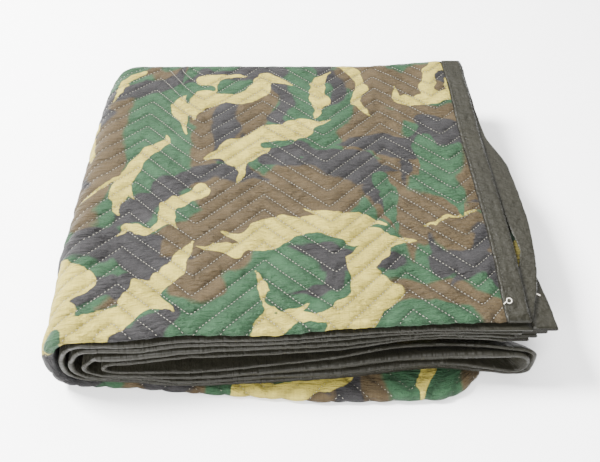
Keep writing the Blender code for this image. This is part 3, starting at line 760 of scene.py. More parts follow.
def quilted_zone():
    """Net on the top and left faces whose lines follow the sewn rows, and the sewn lines themselves."""
    pitch = 0.5 * ZIGZAG_PERIOD / PEAK_STEPS
    u_low, u_high, v_low, v_high = QUILTED_BOX
    first = math.ceil((u_low - ZIGZAG_PEAK_U) / pitch)
    columns = ZIGZAG_PEAK_U + pitch * np.arange(first, math.floor((u_high - ZIGZAG_PEAK_U) / pitch) + 1)
    rows = range(int(-ZIGZAG_HEIGHT / ROW_PITCH) - 3, int((v_high - v_low) / ROW_PITCH) + 2)
    points = []
    lines = []
    for row in rows:
        for part in ROW_PARTS:
            v = row_v(row + part, columns)
            last = None
            for place in zip(columns.tolist(), v.tolist()):
                if not v_low < place[1] < v_high:
                    last = None
                    continue
                points.append(place)
                if part == 0.0 and last is not None:
                    lines.append((last, len(points) - 1))
                last = len(points) - 1
    return points, lines


def face_points(fine):
    """Places on the flat cloth for one face, and lines between them: a coarse net, finer where it shows."""
    points, lines = quilted_zone() if fine else ([], [])
    zones = list(FINE_ZONES.values()) if fine else []
    taken = [zone[:4] for zone in zones] + ([QUILTED_BOX] if fine else [])
    for u in coarse_columns():
        for v in coarse_rows():
            if not any(z[0] - 1.0 < u < z[1] + 1.0 and z[2] - 0.8 < v < z[3] + 0.8 for z in taken):
                points.append((u, v))
    for u0, u1, v0, v1, du, dv in zones:
        points += [(u, v) for u in steps_between(u0, u1, du) for v in steps_between(v0, v1, dv)]
    return points, lines


def face_net(fine):
    """Triangulated net of one face on the flat cloth."""
    points, lines = face_points(fine)
    result = delaunay_2d_cdt([Vector(p) for p in points], lines, [], 0, 1e-4)
    verts = np.array([(p.x, p.y) for p in result[0]])
    faces = np.array(result[2], int)
    p, q, r = (verts[faces[:, k]] for k in range(3))
    turn = (q[:, 0] - p[:, 0]) * (r[:, 1] - p[:, 1]) - (q[:, 1] - p[:, 1]) * (r[:, 0] - p[:, 0])
    keep = np.abs(turn) > 1e-3
    faces = np.where(turn[:, None] > 0.0, faces, faces[:, ::-1])[keep]
    return verts, faces


def open_edges(faces):
    """Edges that only one face has."""
    sides = set()
    for a, b in ((0, 1), (1, 2), (2, 0)):
        sides.update(zip(faces[:, a].tolist(), faces[:, b].tolist()))
    return [(p, q) for p, q in sides if (q, p) not in sides]


def cloth_mesh():
    """Closed mesh of the whole cloth, with its places on the flat cloth."""
    outer_uv, outer_faces = face_net(True)
    inner_uv, inner_faces = face_net(False)
    count = len(outer_uv)
    faces = [tuple(f) for f in outer_faces.tolist()]
    faces += [(f[0] + count, f[2] + count, f[1] + count) for f in inner_faces.tolist()]
    twin = {(round(u, 2), round(v, 2)): k + count for k, (u, v) in enumerate(inner_uv.tolist())}

    def across(k):
        u, v = outer_uv[k]
        return twin[(round(u, 2), round(v, 2))]

    for p, q in open_edges(outer_faces):
        faces.append((q, p, across(p)))
        faces.append((q, across(p), across(q)))
    places = np.concatenate([outer_uv, inner_uv])
    verts = []
    rises = []
    for uv, face in ((outer_uv, 1), (inner_uv, -1)):
        u, v = uv[:, 0], uv[:, 1]
        point, rise = cloth_point(path_a(u), path_b(v), u, v, face)
        verts.append(point)
        rises.append(rise)
    return np.concatenate(verts), faces, places, np.concatenate(rises)


def volume_sign(verts, faces):
    corners = np.array([verts[list(face[:3])] for face in faces])
    return float(np.sum(corners[:, 0] * np.cross(corners[:, 1], corners[:, 2])))


def placed(name, data):
    """New object in the scene that shows the given data."""
    obj = bpy.data.objects.new(name, data)
    bpy.context.scene.collection.objects.link(obj)
    return obj


def made_mesh(name, verts, faces):
    """Object from points in the stack's millimetres, with its place in its mesh."""
    if volume_sign(verts, faces) < 0.0:
        faces = [f[::-1] for f in faces]
    mesh = bpy.data.meshes.new(name)
    mesh.from_pydata(((verts - CENTRE) * MM).tolist(), [], faces)
    mesh.update()
    mesh.shade_smooth()
    return placed(name, mesh)


def add_uv(obj, places):
    """UV map in metres along the cloth."""
    mesh = obj.data
    layer = mesh.uv_layers.new(name="cloth")
    corners = np.zeros(len(mesh.loops), int)
    mesh.loops.foreach_get("vertex_index", corners)
    layer.data.foreach_set("uv", (places[corners] * MM).astype(np.float32).ravel())


def add_values(obj, name, values):
    layer = obj.data.attributes.new(name, "FLOAT", "POINT")
    layer.data.foreach_set("value", np.asarray(values, np.float32))


# Places of the camera, measured in the stack's millimetres, and the photograph's frame
PHOTO_FRAME = (600, 462)
FOCAL_PIXELS = 718.3
CAMERA_PLACE = (-50.4, -637.9, 717.7)
CAMERA_TILT = 48.98
CAMERA_YAW = -6.33
CAMERA_ROLL = 5.11
SENSOR = 36.0

# Floor, and the lights with their place, the point at which they aim and their size, in metres
FLOOR_COLOUR = (0.9, 0.9, 0.9, 1.0)
FLOOR_ROUGHNESS = 0.9
LIGHTS = (
    ("key", (-1.55, 0.55, 1.8), (0.0, 0.0, 0.05), (0.7, 0.7)),
    ("overhead", (0.3, 1.1, 2.4), (0.0, 0.0, 0.0), (2.4, 2.4)),
    ("front", (-0.8, -1.9, 1.5), (0.0, -0.2, 0.05), (1.4, 0.8)),
)

# Small sewn details on the binding, in the stack's millimetres
NOSE_BLUNTNESS = 0.92
NOSE_DEPTH = 0.92
TAPE_SEAM = 19.5
TAPE_SECOND_LINE = 9.0
TAPE_JOINS = (767.0, 815.0)
TAPE_STITCH_PITCH = 5.0
TAPE_STITCH_LENGTH = 3.4
TAPE_STITCH_WIDTH = 0.6
TAPE_STITCH_COLOUR = (0.016, 0.015, 0.012)
TAPE_STEP = 4.6
TAPE_TURN_STEP = 1.5
TAPE_END_GAP = {"start": 1.1, "end": 1.1, "first": 0.5, "second": 0.5}
TAPE_SEED = {"first": 41.0, "second": 43.0, "start": 47.0, "end": 53.0}

# Relief of the tape: its fullness, its creases, and the depth and width of each sewn line
TAPE_FULLNESS = 0.95
TAPE_CREASE = 1.1
HIDDEN_CREASE = 0.16
SEAM_DEPTH = 1.2
SEAM_WIDTH = 2.2
LINE_DEPTH = 0.8
LINE_WIDTH = 1.6
JOIN_DEPTH = 0.9
JOIN_WIDTH = 1.7
RAGGED_EDGE = 0.7

# Bare sliver of print beside the tape, and the height of the stitches over the cloth
BARE_SHARE = 0.36
STITCH_LEAST_Z = 1.2
STITCH_LIFT = 0.3

# Bar of thread on the tape, from and to on the flat cloth, and the loose loop of thread
BAR_STITCH = ((14.0, 1777.0), (4.5, 1783.0))
LOOP_PLACE = (232.5, -197.0)
LOOP_RADIUS = 2.8
BAR_WIDTH = 0.8
LOOSE_WIDTH = 0.5


def tape_places(side):
    """Places along one edge of the cloth at which the tape's section is set."""
    if side in ("start", "end"):
        knots, low, high = V_KNOTS, 0.0, CLOTH_LENGTH
    else:
        knots, low, high = U_KNOTS, BINDING_WIDTH + 0.6, CLOTH_WIDTH - BINDING_WIDTH - 0.6
    places = [low, high]
    for k in range(7):
        a, b = max(knots[k], low), min(knots[k + 1], high)
        if b <= a:
            continue
        pitch = TAPE_STEP if b - a > 100.0 else TAPE_TURN_STEP
        places += [p for p in steps_between(a, b, pitch) if low + 0.9 < p < high - 0.9]
    return np.array(thin_out(places))


def tape_cloth_place(side, along, inward):
    """Place on the flat cloth of a point of the tape."""
    inward = np.maximum(inward, 0.0)
    if side == "start":
        return inward, along
    if side == "end":
        return CLOTH_WIDTH - inward, along
    if side == "first":
        return along, inward
    return along, CLOTH_LENGTH - inward


def tape_openness(side, a, b):
    """One where the tape lies open to the air on its upper side, nought between plies."""
    if side == "start":
        return window(b, 2.0, 0.04, 3.0, 0.02)
    return 0.0 * a


def tape_mesh(side):
    """Closed strip of folded tape round one edge of the cloth, with its places on the flat tape."""
    along = tape_places(side)
    legs = np.linspace(BINDING_WIDTH, 1.5, 9)
    arc = np.linspace(math.pi / 2.0, -math.pi / 2.0, 11)[1:-1]
    sections = (
        [("leg", d, 1.0) for d in legs] + [("nose", t, 0.0) for t in arc]
        + [("leg", d, -1.0) for d in legs[::-1]]
        + [("inner", d, -1.0) for d in legs] + [("end", 0.0, -1.0), ("end", 0.0, 1.0)]
        + [("inner", d, 1.0) for d in legs[::-1]]
    )
    end_gap = TAPE_END_GAP[side]
    u_edge, v_edge = tape_cloth_place(side, along, 0.0 * along)
    u_leg, v_leg = tape_cloth_place(side, along, 0.0 * along + BINDING_WIDTH)
    half_edge = plain_half(path_a(u_edge), path_b(v_edge), u_edge, v_edge)
    half_leg = plain_half(path_a(u_leg), path_b(v_leg), u_leg, v_leg)
    nose = np.maximum(end_gap + 1.2, NOSE_DEPTH * (half_edge + BINDING_GAP + BINDING_WALL))
    seed = TAPE_SEED[side]
    rings = []
    flats = []
    for kind, value, way in sections:
        lump = 0.6 * soft_noise(along / 14.0, 0.0 * along + value, seed)
        lump = lump + 0.4 * soft_noise(along / 5.0, 0.0 * along, seed + 1.0)
        if kind == "nose":
            inward = -nose * math.cos(value) ** NOSE_BLUNTNESS
            swing = math.copysign(abs(math.sin(value)) ** NOSE_BLUNTNESS, value)
            height = (half_edge + BINDING_GAP + BINDING_WALL) * swing
            reach = 0.8 * lump * math.cos(value)
            inward = inward - reach
            flat = 0.0 * along - value
        else:
            inward = 0.0 * along + (value if kind != "end" else -end_gap)
            if side == "start" and kind != "end":
                inward = inward * (1.0 - BARE_SHARE * bell(along, BARE_PLACE, BARE_LENGTH))
            share = np.clip(inward / BINDING_WIDTH, 0.0, 1.0)
            height = mix(half_edge, half_leg, share) + BINDING_GAP
            if kind == "leg":
                height = height + BINDING_WALL
            height = height * way
            flat = way * np.maximum(inward, 0.0)
        u, v = tape_cloth_place(side, along, inward)
        a, b = path_a(u), path_b(v)
        point = mid_surface(a, b)
        normal = surface_normal(a, b)
        if kind in ("leg", "inner"):
            open_side = tape_openness(side, a, b) if way > 0 else 0.0
            seam = bell(inward, TAPE_SEAM, SEAM_WIDTH)
            creases = soft_noise(along / 6.0, inward / 16.0, seed + 5.0) * 0.7
            creases = creases + 0.5 * soft_noise(along / 17.0, inward / 30.0, seed + 7.0)
            line = bell(inward, TAPE_SECOND_LINE, LINE_WIDTH)
            joins = sum(bell(along, place, JOIN_WIDTH) for place in TAPE_JOINS)
            height = height + open_side * (
                TAPE_FULLNESS + TAPE_CREASE * creases - SEAM_DEPTH * seam - LINE_DEPTH * line
                - JOIN_DEPTH * joins)
            height = height + way * (1.0 - open_side) * HIDDEN_CREASE * creases
            if value == legs[0]:
                edge = RAGGED_EDGE * soft_noise(along / 9.0, 0.0 * along, seed + 9.0)
                u, v = tape_cloth_place(side, along, inward + edge)
                a, b = path_a(u), path_b(v)
                point = mid_surface(a, b)
        else:
            u2, v2 = tape_cloth_place(side, along, 0.0 * along + 3.0)
            outward = point - mid_surface(path_a(u2), path_b(v2))
            outward = outward - normal * np.sum(outward * normal, axis=-1, keepdims=True)
            outward = outward / np.linalg.norm(outward, axis=-1, keepdims=True)
            point = point + outward * (-inward)[:, None]
        rings.append(point + normal * np.broadcast_to(height, along.shape)[:, None])
        flats.append(np.stack([along, flat + 0.0 * along], axis=-1))
    n = len(sections)
    verts = np.stack(rings, axis=1).reshape(-1, 3)
    places = np.stack(flats, axis=1).reshape(-1, 2)
    faces = []
    for k in range(len(along) - 1):
        for m in range(n):
            q = (m + 1) % n
            faces.append((k * n + m, k * n + q, (k + 1) * n + q))
            faces.append((k * n + m, (k + 1) * n + q, (k + 1) * n + m))
    outer = 2 * len(legs) + len(arc)
    last = len(along) - 1
    for base, turned in ((0, False), (last * n, True)):
        cap = []
        pairs = [(m, n - 1 - m) for m in range(len(legs))]
        pairs += [(len(legs) + k, n - 1 - len(legs)) for k in range(len(arc) // 2)]
        pairs += [(len(legs) + len(arc) // 2 + k, n - 2 - len(legs)) for k in range(len(arc) - len(arc) // 2)]
        pairs += [(len(legs) + len(arc) + k, outer + len(legs) - 1 - k) for k in range(len(legs))]
        for (p, q), (r, s) in zip(pairs[:-1], pairs[1:]):
            if p != r:
                cap.append((p, r, q))
            if q != s:
                cap.append((r, s, q))
        for f in cap:
            f = tuple(base + k for k in f)
            faces.append(f[::-1] if not turned else f)
    return verts, faces, places


# Roughness, gloss, sheen and tint of the sheen of each material
CLOTH_LOOK = (0.62, 0.12, 0.02, (0.9, 0.92, 0.95))
TAPE_LOOK = (0.42, 0.16, 0.02, (0.9, 0.9, 0.85))
THREAD_LOOK = (0.6, 0.2, 0.1, (1.0, 1.0, 1.0))
SHEEN_ROUGHNESS = 0.45

# How much the colours of the cloth and the tape vary, and how much painted shade darkens the print in the
# sewn furrows
CLOTH_WEAR = 0.14
TAPE_WEAR = 0.2
SLUB_SHADE = 0.9
FURROW_POWER = 0.36
FURROW_SHADE = (0.86, 0.2)
RIB_SHADE = (0.3, 0.85)
FLECK_SHADE = (0.5, 0.75)

# Ragged edges of the print: its noise and how far it reaches in millimetres
RAGGED_NOISE = (120.0, 3.0, 0.62)
RAGGED_REACH = 4.0

# Noise on the flat cloth: how many a metre across and along, its detail and its roughness
SLUBS_ACROSS = (40.0, 900.0, 1.0)
SLUBS_ALONG = (900.0, 40.0, 1.0)
FINE_CREASES = (62.0, 235.0, 3.0, 0.6)
SLACK = (24.0, 30.0, 1.0)
SLACK_RANGE = (2.4, -0.35)
TAPE_RIBS = (2600.0, 260.0)
TAPE_PUCKERS = (110.0, 80.0, 3.0, 0.6)
TAPE_CRINKLES = (250.0, 55.0)

# Depth in metres of what the shaders raise
CREASE_BUMP = 0.012
WEAVE_BUMP = 0.00016
PUCKER_BUMP = 0.0034
CRINKLE_BUMP = 0.0011
RIB_BUMP = 0.0001
TWIST_BUMP = 0.0003

# Crispness of the edge of each colour of the print, in the order in which they are laid on
PRINT_EDGES = (("brown", 0.22), ("grey", 0.3), ("tan", 1.1), ("green", 0.7))


def node_with(tree, kind, inputs, **settings):
    """New node with its settings; each input is a value or an output socket."""
    node = tree.nodes.new(kind)
    for name, value in settings.items():
        setattr(node, name, value)
    for label, value in inputs.items():
        if isinstance(value, bpy.types.NodeSocket):
            tree.links.new(value, node.inputs[label])
        else:
            node.inputs[label].default_value = value
    return node


def new_group(name, inputs, outputs, kind="ShaderNodeTree"):
    """Empty node group with its sockets."""
    tree = bpy.data.node_groups.new(name, kind)
    for label, socket_type, default in inputs:
        socket = tree.interface.new_socket(name=label, in_out="INPUT", socket_type=socket_type)
        if default is not None:
            socket.default_value = default
    for label, socket_type in outputs:
        tree.interface.new_socket(name=label, in_out="OUTPUT", socket_type=socket_type)
    return tree, tree.nodes.new("NodeGroupInput").outputs, tree.nodes.new("NodeGroupOutput").inputs


def math_node(tree, operation, *operands, clamp=False):
    """One sum; each operand is a number or an output socket."""
    inputs = dict(enumerate(operands))
    return node_with(tree, "ShaderNodeMath", inputs, operation=operation, use_clamp=clamp).outputs[0]


def ramp(tree, value, gain, base, clamp=False):
    """A value times a gain, added to a base."""
    return math_node(tree, "ADD", math_node(tree, "MULTIPLY", value, gain), base, clamp=clamp)


def noise_node(tree, vector, scale, detail=2.0, roughness=0.5):
    inputs = {"Vector": vector, "Scale": scale, "Detail": detail, "Roughness": roughness}
    return node_with(tree, "ShaderNodeTexNoise", inputs).outputs["Fac"]


def cloth_noise(tree, cloth, across, along, detail=2.0, roughness=0.5):
    """Noise on the flat cloth, with so many waves a metre each way."""
    mapping = node_with(tree, "ShaderNodeMapping", {"Vector": cloth, "Scale": (across, along, 1.0)})
    return noise_node(tree, mapping.outputs["Vector"], 1.0, detail, roughness)


def mix_colour(tree, share, first, second):
    inputs = {0: share, 6: first, 7: second}
    return node_with(tree, "ShaderNodeMix", inputs, data_type="RGBA").outputs[2]


def scaled_colour(tree, colour, gain):
    """A colour made lighter or darker by a gain."""
    return node_with(tree, "ShaderNodeVectorMath", {0: colour, "Scale": gain}, operation="SCALE").outputs[0]


def value_of(tree, name):
    return node_with(tree, "ShaderNodeAttribute", {}, attribute_name=name).outputs["Fac"]


def weave_group():
    """Crossed threads on the flat cloth: a height, and a value that varies from thread to thread."""
    name = "Woven threads"
    if name in bpy.data.node_groups:
        return bpy.data.node_groups[name]
    tree, source, target = new_group(
        name,
        [("Cloth", "NodeSocketVector", None), ("Threads per metre", "NodeSocketFloat", 1400.0)],
        [("Height", "NodeSocketFloat"), ("Slub", "NodeSocketFloat")],
    )
    split = node_with(tree, "ShaderNodeSeparateXYZ", {0: source["Cloth"]})
    waves = []
    for axis in ("X", "Y"):
        count = math_node(tree, "MULTIPLY", split.outputs[axis], source["Threads per metre"])
        turn = math_node(tree, "MULTIPLY", count, 2.0 * math.pi)
        waves.append(math_node(tree, "SINE", turn))
    height = math_node(tree, "MULTIPLY", waves[0], waves[1])
    slubs = [cloth_noise(tree, source["Cloth"], *slub) for slub in (SLUBS_ACROSS, SLUBS_ALONG)]
    slub = math_node(tree, "MULTIPLY", math_node(tree, "ADD", *slubs), 0.5)
    tree.links.new(height, target["Height"])
    tree.links.new(slub, target["Slub"])
    return tree


def wear_group():
    """Soft uneven fading of a colour, from handling and washing."""
    name = "Soft wear"
    if name in bpy.data.node_groups:
        return bpy.data.node_groups[name]
    tree, source, target = new_group(
        name,
        [("Colour", "NodeSocketColor", None), ("Cloth", "NodeSocketVector", None),
         ("Strength", "NodeSocketFloat", 0.2)],
        [("Colour", "NodeSocketColor")],
    )
    broad = noise_node(tree, source["Cloth"], 9.0, 4.0, 0.6)
    fine = noise_node(tree, source["Cloth"], 130.0, 3.0, 0.6)
    total = ramp(tree, broad, 0.6, math_node(tree, "MULTIPLY", fine, 0.4))
    swing = math_node(tree, "MULTIPLY", math_node(tree, "SUBTRACT", total, 0.5), source["Strength"])
    gain = ramp(tree, swing, 4.0, 1.0)
    tree.links.new(scaled_colour(tree, source["Colour"], gain), target["Colour"])
    return tree


def cloth_vector(tree):
    return node_with(tree, "ShaderNodeUVMap", {}, uv_map="cloth").outputs["UV"]


def worn_colour(tree, colour, cloth, strength):
    """A colour after the soft uneven fading."""
    inputs = {"Colour": colour, "Cloth": cloth, "Strength": strength}
    return node_with(tree, "ShaderNodeGroup", inputs, node_tree=wear_group()).outputs["Colour"]


def bump(tree, height, distance, strength=1.0, normal=None):
    inputs = {"Height": height, "Distance": distance, "Strength": strength}
    if normal is not None:
        inputs["Normal"] = normal
    return node_with(tree, "ShaderNodeBump", inputs).outputs["Normal"]


def new_material(name, roughness, gloss, sheen, sheen_tint):
    """Material of cloth or thread, with its tree and its shader's input sockets."""
    material = bpy.data.materials.new(name)
    material.use_nodes = True
    sockets = material.node_tree.nodes["Principled BSDF"].inputs
    sockets["Roughness"].default_value = roughness
    sockets["Metallic"].default_value = 0.0
    sockets["Specular IOR Level"].default_value = gloss
    sockets["Sheen Weight"].default_value = sheen
    sockets["Sheen Roughness"].default_value = SHEEN_ROUGHNESS
    sockets["Sheen Tint"].default_value = (*sheen_tint, 1.0)
    return material, material.node_tree, sockets


def printed_cloth(settings):
    """Woven cloth with the woodland print, with painted shade darkening it in the sewn furrows."""
    material, tree, sockets = new_material("printed_cloth", *CLOTH_LOOK)
    cloth = cloth_vector(tree)
    ragged = noise_node(tree, cloth, *RAGGED_NOISE)
    ragged = math_node(tree, "MULTIPLY", math_node(tree, "SUBTRACT", ragged, 0.5), RAGGED_REACH)
    colour = (*settings.green, 1.0)
    for name, crispness in PRINT_EDGES:
        field = math_node(tree, "ADD", value_of(tree, "print_" + name), ragged)
        share = ramp(tree, field, crispness, 0.5, clamp=True)
        colour = mix_colour(tree, share, colour, (*getattr(settings, name), 1.0))
    share = math_node(tree, "ADD", value_of(tree, "print_edge"), 0.5, clamp=True)
    colour = mix_colour(tree, share, colour, (*settings.edge, 1.0))
    weave = node_with(tree, "ShaderNodeGroup", {"Cloth": cloth}, node_tree=weave_group()).outputs
    worn = worn_colour(tree, colour, cloth, CLOTH_WEAR)
    slub = math_node(tree, "MULTIPLY", math_node(tree, "SUBTRACT", weave["Slub"], 0.5), SLUB_SHADE)
    # Painted shade: the print is darkened along the sewn furrows, where quilt_rise is low
    furrow = math_node(tree, "POWER", value_of(tree, "quilt_rise"), FURROW_POWER)
    shade = math_node(tree, "ADD", ramp(tree, furrow, *FURROW_SHADE), slub)
    tree.links.new(scaled_colour(tree, worn, shade), sockets["Base Color"])
    fine = cloth_noise(tree, cloth, *FINE_CREASES)
    slack = ramp(tree, cloth_noise(tree, cloth, *SLACK), *SLACK_RANGE)
    normal = bump(tree, math_node(tree, "MULTIPLY", fine, slack), CREASE_BUMP)
    tree.links.new(bump(tree, weave["Height"], WEAVE_BUMP, 0.7, normal), sockets["Normal"])
    return material


def satin_tape(settings):
    """Dark olive grey tape with fine cross ribs, a soft gloss and puckers."""
    material, tree, sockets = new_material("satin_tape", *TAPE_LOOK)
    cloth = cloth_vector(tree)
    worn = worn_colour(tree, (*settings.colour, 1.0), cloth, TAPE_WEAR)
    ribs = cloth_noise(tree, cloth, *TAPE_RIBS)
    tree.links.new(scaled_colour(tree, worn, ramp(tree, ribs, *RIB_SHADE)), sockets["Base Color"])
    puckers = cloth_noise(tree, cloth, *TAPE_PUCKERS)
    crinkles = cloth_noise(tree, cloth, *TAPE_CRINKLES)
    normal = bump(tree, crinkles, CRINKLE_BUMP, 1.0, bump(tree, puckers, PUCKER_BUMP))
    tree.links.new(bump(tree, ribs, RIB_BUMP, 0.5, normal), sockets["Normal"])
    return material


def sewing_thread(name, colour):
    """Twisted spun thread."""
    material, tree, sockets = new_material(name, *THREAD_LOOK)
    coords = tree.nodes.new("ShaderNodeTexCoord").outputs["Object"]
    twist = noise_node(tree, coords, 1800.0)
    shade = ramp(tree, noise_node(tree, coords, 60.0), *FLECK_SHADE)
    tree.links.new(scaled_colour(tree, colour, shade), sockets["Base Color"])
    tree.links.new(bump(tree, twist, TWIST_BUMP), sockets["Normal"])
    return material


def stitch_tree():
    """Geometry nodes that lay one stitch on each point, along its thread and flat on the cloth."""
    name = "Stitch line"
    if name in bpy.data.node_groups:
        return bpy.data.node_groups[name]
    tree, source, target = new_group(
        name,
        [("Points", "NodeSocketGeometry", None), ("Stitch length", "NodeSocketFloat", None),
         ("Thread width", "NodeSocketFloat", None), ("Unevenness", "NodeSocketFloat", None),
         ("Seed", "NodeSocketInt", None), ("Material", "NodeSocketMaterial", None)],
        [("Stitches", "NodeSocketGeometry")],
        kind="GeometryNodeTree",
    )
    bead = node_with(tree, "GeometryNodeMeshUVSphere", {"Segments": 6, "Rings": 4, "Radius": 0.5})
    points = node_with(tree, "GeometryNodeMeshToPoints", {"Mesh": source["Points"]})
    turn = {}
    for attribute, axis, pivot in (("along", "Z", "AUTO"), ("facing", "X", "Z")):
        named = node_with(
            tree, "GeometryNodeInputNamedAttribute", {"Name": attribute}, data_type="FLOAT_VECTOR")
        inputs = {"Vector": named.outputs["Attribute"], **turn}
        align = node_with(
            tree, "FunctionNodeAlignRotationToVector", inputs, axis=axis, pivot_axis=pivot)
        turn = {"Rotation": align.outputs["Rotation"]}
    chance = node_with(tree, "FunctionNodeRandomValue", {}, data_type="FLOAT")
    tree.links.new(source["Seed"], chance.inputs["Seed"])
    swing = math_node(tree, "MULTIPLY_ADD", chance.outputs[1], source["Unevenness"], 1.0)
    length = math_node(tree, "MULTIPLY", source["Stitch length"], swing)
    width = source["Thread width"]
    size = node_with(tree, "ShaderNodeCombineXYZ", {"X": width, "Y": width, "Z": length})
    place = node_with(tree, "GeometryNodeInstanceOnPoints", {
        "Points": points.outputs["Points"], "Instance": bead.outputs["Mesh"],
        "Scale": size.outputs[0], **turn,
    })
    real = node_with(tree, "GeometryNodeRealizeInstances", {0: place.outputs["Instances"]})
    smooth = node_with(tree, "GeometryNodeSetShadeSmooth", {0: real.outputs[0]})
    paint = node_with(tree, "GeometryNodeSetMaterial", {
        "Geometry": smooth.outputs[0], "Material": source["Material"],
    })
    tree.links.new(paint.outputs["Geometry"], target["Stitches"])
    return tree


def sewn(name, places, along, facing, material, length, width, unevenness=-0.25, seed=7):
    """Mesh of stitches from points in the stack's millimetres."""
    mesh = bpy.data.meshes.new(name + "_points")
    mesh.from_pydata(((places - CENTRE) * MM).tolist(), [], [])
    for label, values in (("along", along), ("facing", facing)):
        layer = mesh.attributes.new(label, "FLOAT_VECTOR", "POINT")
        layer.data.foreach_set("vector", np.asarray(values, np.float32).ravel())
    carrier = placed(name + "_points", mesh)
    modifier = carrier.modifiers.new("Stitch line", "NODES")
    tree = stitch_tree()
    modifier.node_group = tree
    values = {
        "Stitch length": length * MM, "Thread width": width * MM,
        "Unevenness": unevenness, "Seed": seed, "Material": material,
    }
    for item in tree.interface.items_tree:
        if item.in_out == "INPUT" and item.name in values:
            modifier[item.identifier] = values[item.name]
    graph = bpy.context.evaluated_depsgraph_get()
    result = bpy.data.meshes.new_from_object(carrier.evaluated_get(graph))
    bpy.data.objects.remove(carrier, do_unlink=True)
    result.name = name
    result.materials.clear()
    result.materials.append(material)
    for label in [a.name for a in result.attributes if a.name in ("along", "facing")]:
        result.attributes.remove(result.attributes[label])
    return placed(name, result)


def along_line(points, pitch):
    """Evenly spaced places and directions on a line of points."""
    reach = np.concatenate([[0.0], np.cumsum(np.linalg.norm(np.diff(points, axis=0), axis=1))])
    marks = np.arange(0.5 * pitch, reach[-1], pitch)
    columns = [np.interp(marks, reach, points[:, k]) for k in range(points.shape[1])]
    return np.stack(columns, axis=-1)


def directions(points):
    way = np.gradient(points, axis=0)
    return way / np.linalg.norm(way, axis=1, keepdims=True)


def quilting_stitches(settings):
    """Stitches of every zigzag row on the faces that show."""
    places, ways, normals = [], [], []
    for u0, u1, v0, v1 in SEWN_PARTS:
        u = np.arange(u0, u1, 1.0)
        low = int((v0 - V_KNOTS[2] - FIRST_ROW_V - ZIGZAG_HEIGHT) / ROW_PITCH) - 2
        high = int((v1 - V_KNOTS[2] - FIRST_ROW_V) / ROW_PITCH) + 2
        for row in range(low, high):
            v = row_v(row, u)
            inside = (v > v0) & (v < v1)
            edges = np.flatnonzero(np.diff(np.concatenate([[0], inside.astype(int), [0]])))
            for start, stop in zip(edges[::2], edges[1::2]):
                if stop - start < 8:
                    continue
                line = np.stack([u[start:stop], v[start:stop]], axis=-1)
                spots = along_line(line, settings.pitch / MM)
                if len(spots) < 3:
                    continue
                a, b = path_a(spots[:, 0]), path_b(spots[:, 1])
                point, _ = cloth_point(a, b, spots[:, 0], spots[:, 1], 1)
                normal = surface_normal(a, b)
                clear = point[:, 2] > STITCH_LEAST_Z
                places.append((point + normal * STITCH_LIFT)[clear])
                ways.append(directions(point)[clear])
                normals.append(normal[clear])
    return np.concatenate(places), np.concatenate(ways), np.concatenate(normals)


def tape_stitches():
    """Line of stitches that holds the upper end's tape on the top ply."""
    v = np.arange(V_KNOTS[2] + 2.0, V_KNOTS[3] - 1.0, TAPE_STITCH_PITCH)
    u = 0.0 * v + TAPE_SEAM + 0.4 * soft_noise(v / 20.0, v * 0.0, 61.0)
    a, b = path_a(u), path_b(v)
    normal = surface_normal(a, b)
    half = plain_half(a, b, u, v)
    height = half + BINDING_GAP + BINDING_WALL + 0.25
    point = mid_surface(a, b) + normal * height[:, None]
    return point, directions(point), normal


def thread_tube(points, radius, sides=7):
    """Closed round thread along a line of points."""
    points = np.asarray(points, float)
    ways = directions(points)
    verts, faces = [], []
    across = np.cross(ways[0], (0.0, 0.0, 1.0))
    for point, way in zip(points, ways):
        across = across - way * np.dot(across, way)
        across = across / np.linalg.norm(across)
        third = np.cross(way, across)
        for k in range(sides):
            turn = 2.0 * math.pi * k / sides
            verts.append(point + radius * (math.cos(turn) * across + math.sin(turn) * third))
    for ring in range(len(points) - 1):
        for k in range(sides):
            p, q = ring * sides + k, ring * sides + (k + 1) % sides
            faces.append((p, q, q + sides, p + sides))
    last = (len(points) - 1) * sides
    faces.append(tuple(range(sides))[::-1])
    faces.append(tuple(last + k for k in range(sides)))
    return np.array(verts), faces


def bar_line():
    """Short heavy stitch on the tape of the third ply."""
    t = np.linspace(0.0, 1.0, 9)
    u = mix(BAR_STITCH[0][0], BAR_STITCH[1][0], t)
    v = mix(BAR_STITCH[0][1], BAR_STITCH[1][1], t)
    a, b = path_a(u), path_b(v)
    height = plain_half(a, b, u, v) + BINDING_GAP + BINDING_WALL + 0.5 + 0.6 * np.sin(math.pi * t)
    return mid_surface(a, b) + surface_normal(a, b) * height[:, None]


def loop_line():
    """End of thread that stands up in a loop near the front right corner."""
    turn = np.linspace(-2.4, 3.4, 22)
    x = LOOP_PLACE[0] + LOOP_RADIUS * np.cos(turn)
    y = LOOP_PLACE[1] + LOOP_RADIUS * np.sin(turn)
    tail = np.linspace(0.0, 1.0, 6)[1:]
    x = np.concatenate([x, mix(x[-1], LOOP_PLACE[0] - 6.5, tail)])
    y = np.concatenate([y, mix(y[-1], LOOP_PLACE[1] - 3.5, tail)])
    rise = np.concatenate([3.6 + 1.0 * np.sin(turn), mix(3.4, 2.4, tail)])
    top = settle(x, y, 0.0 * x + 15.0) + PINCHED_HALF + PILLOW_LIFT
    return np.stack([x, y, top + rise], axis=-1)


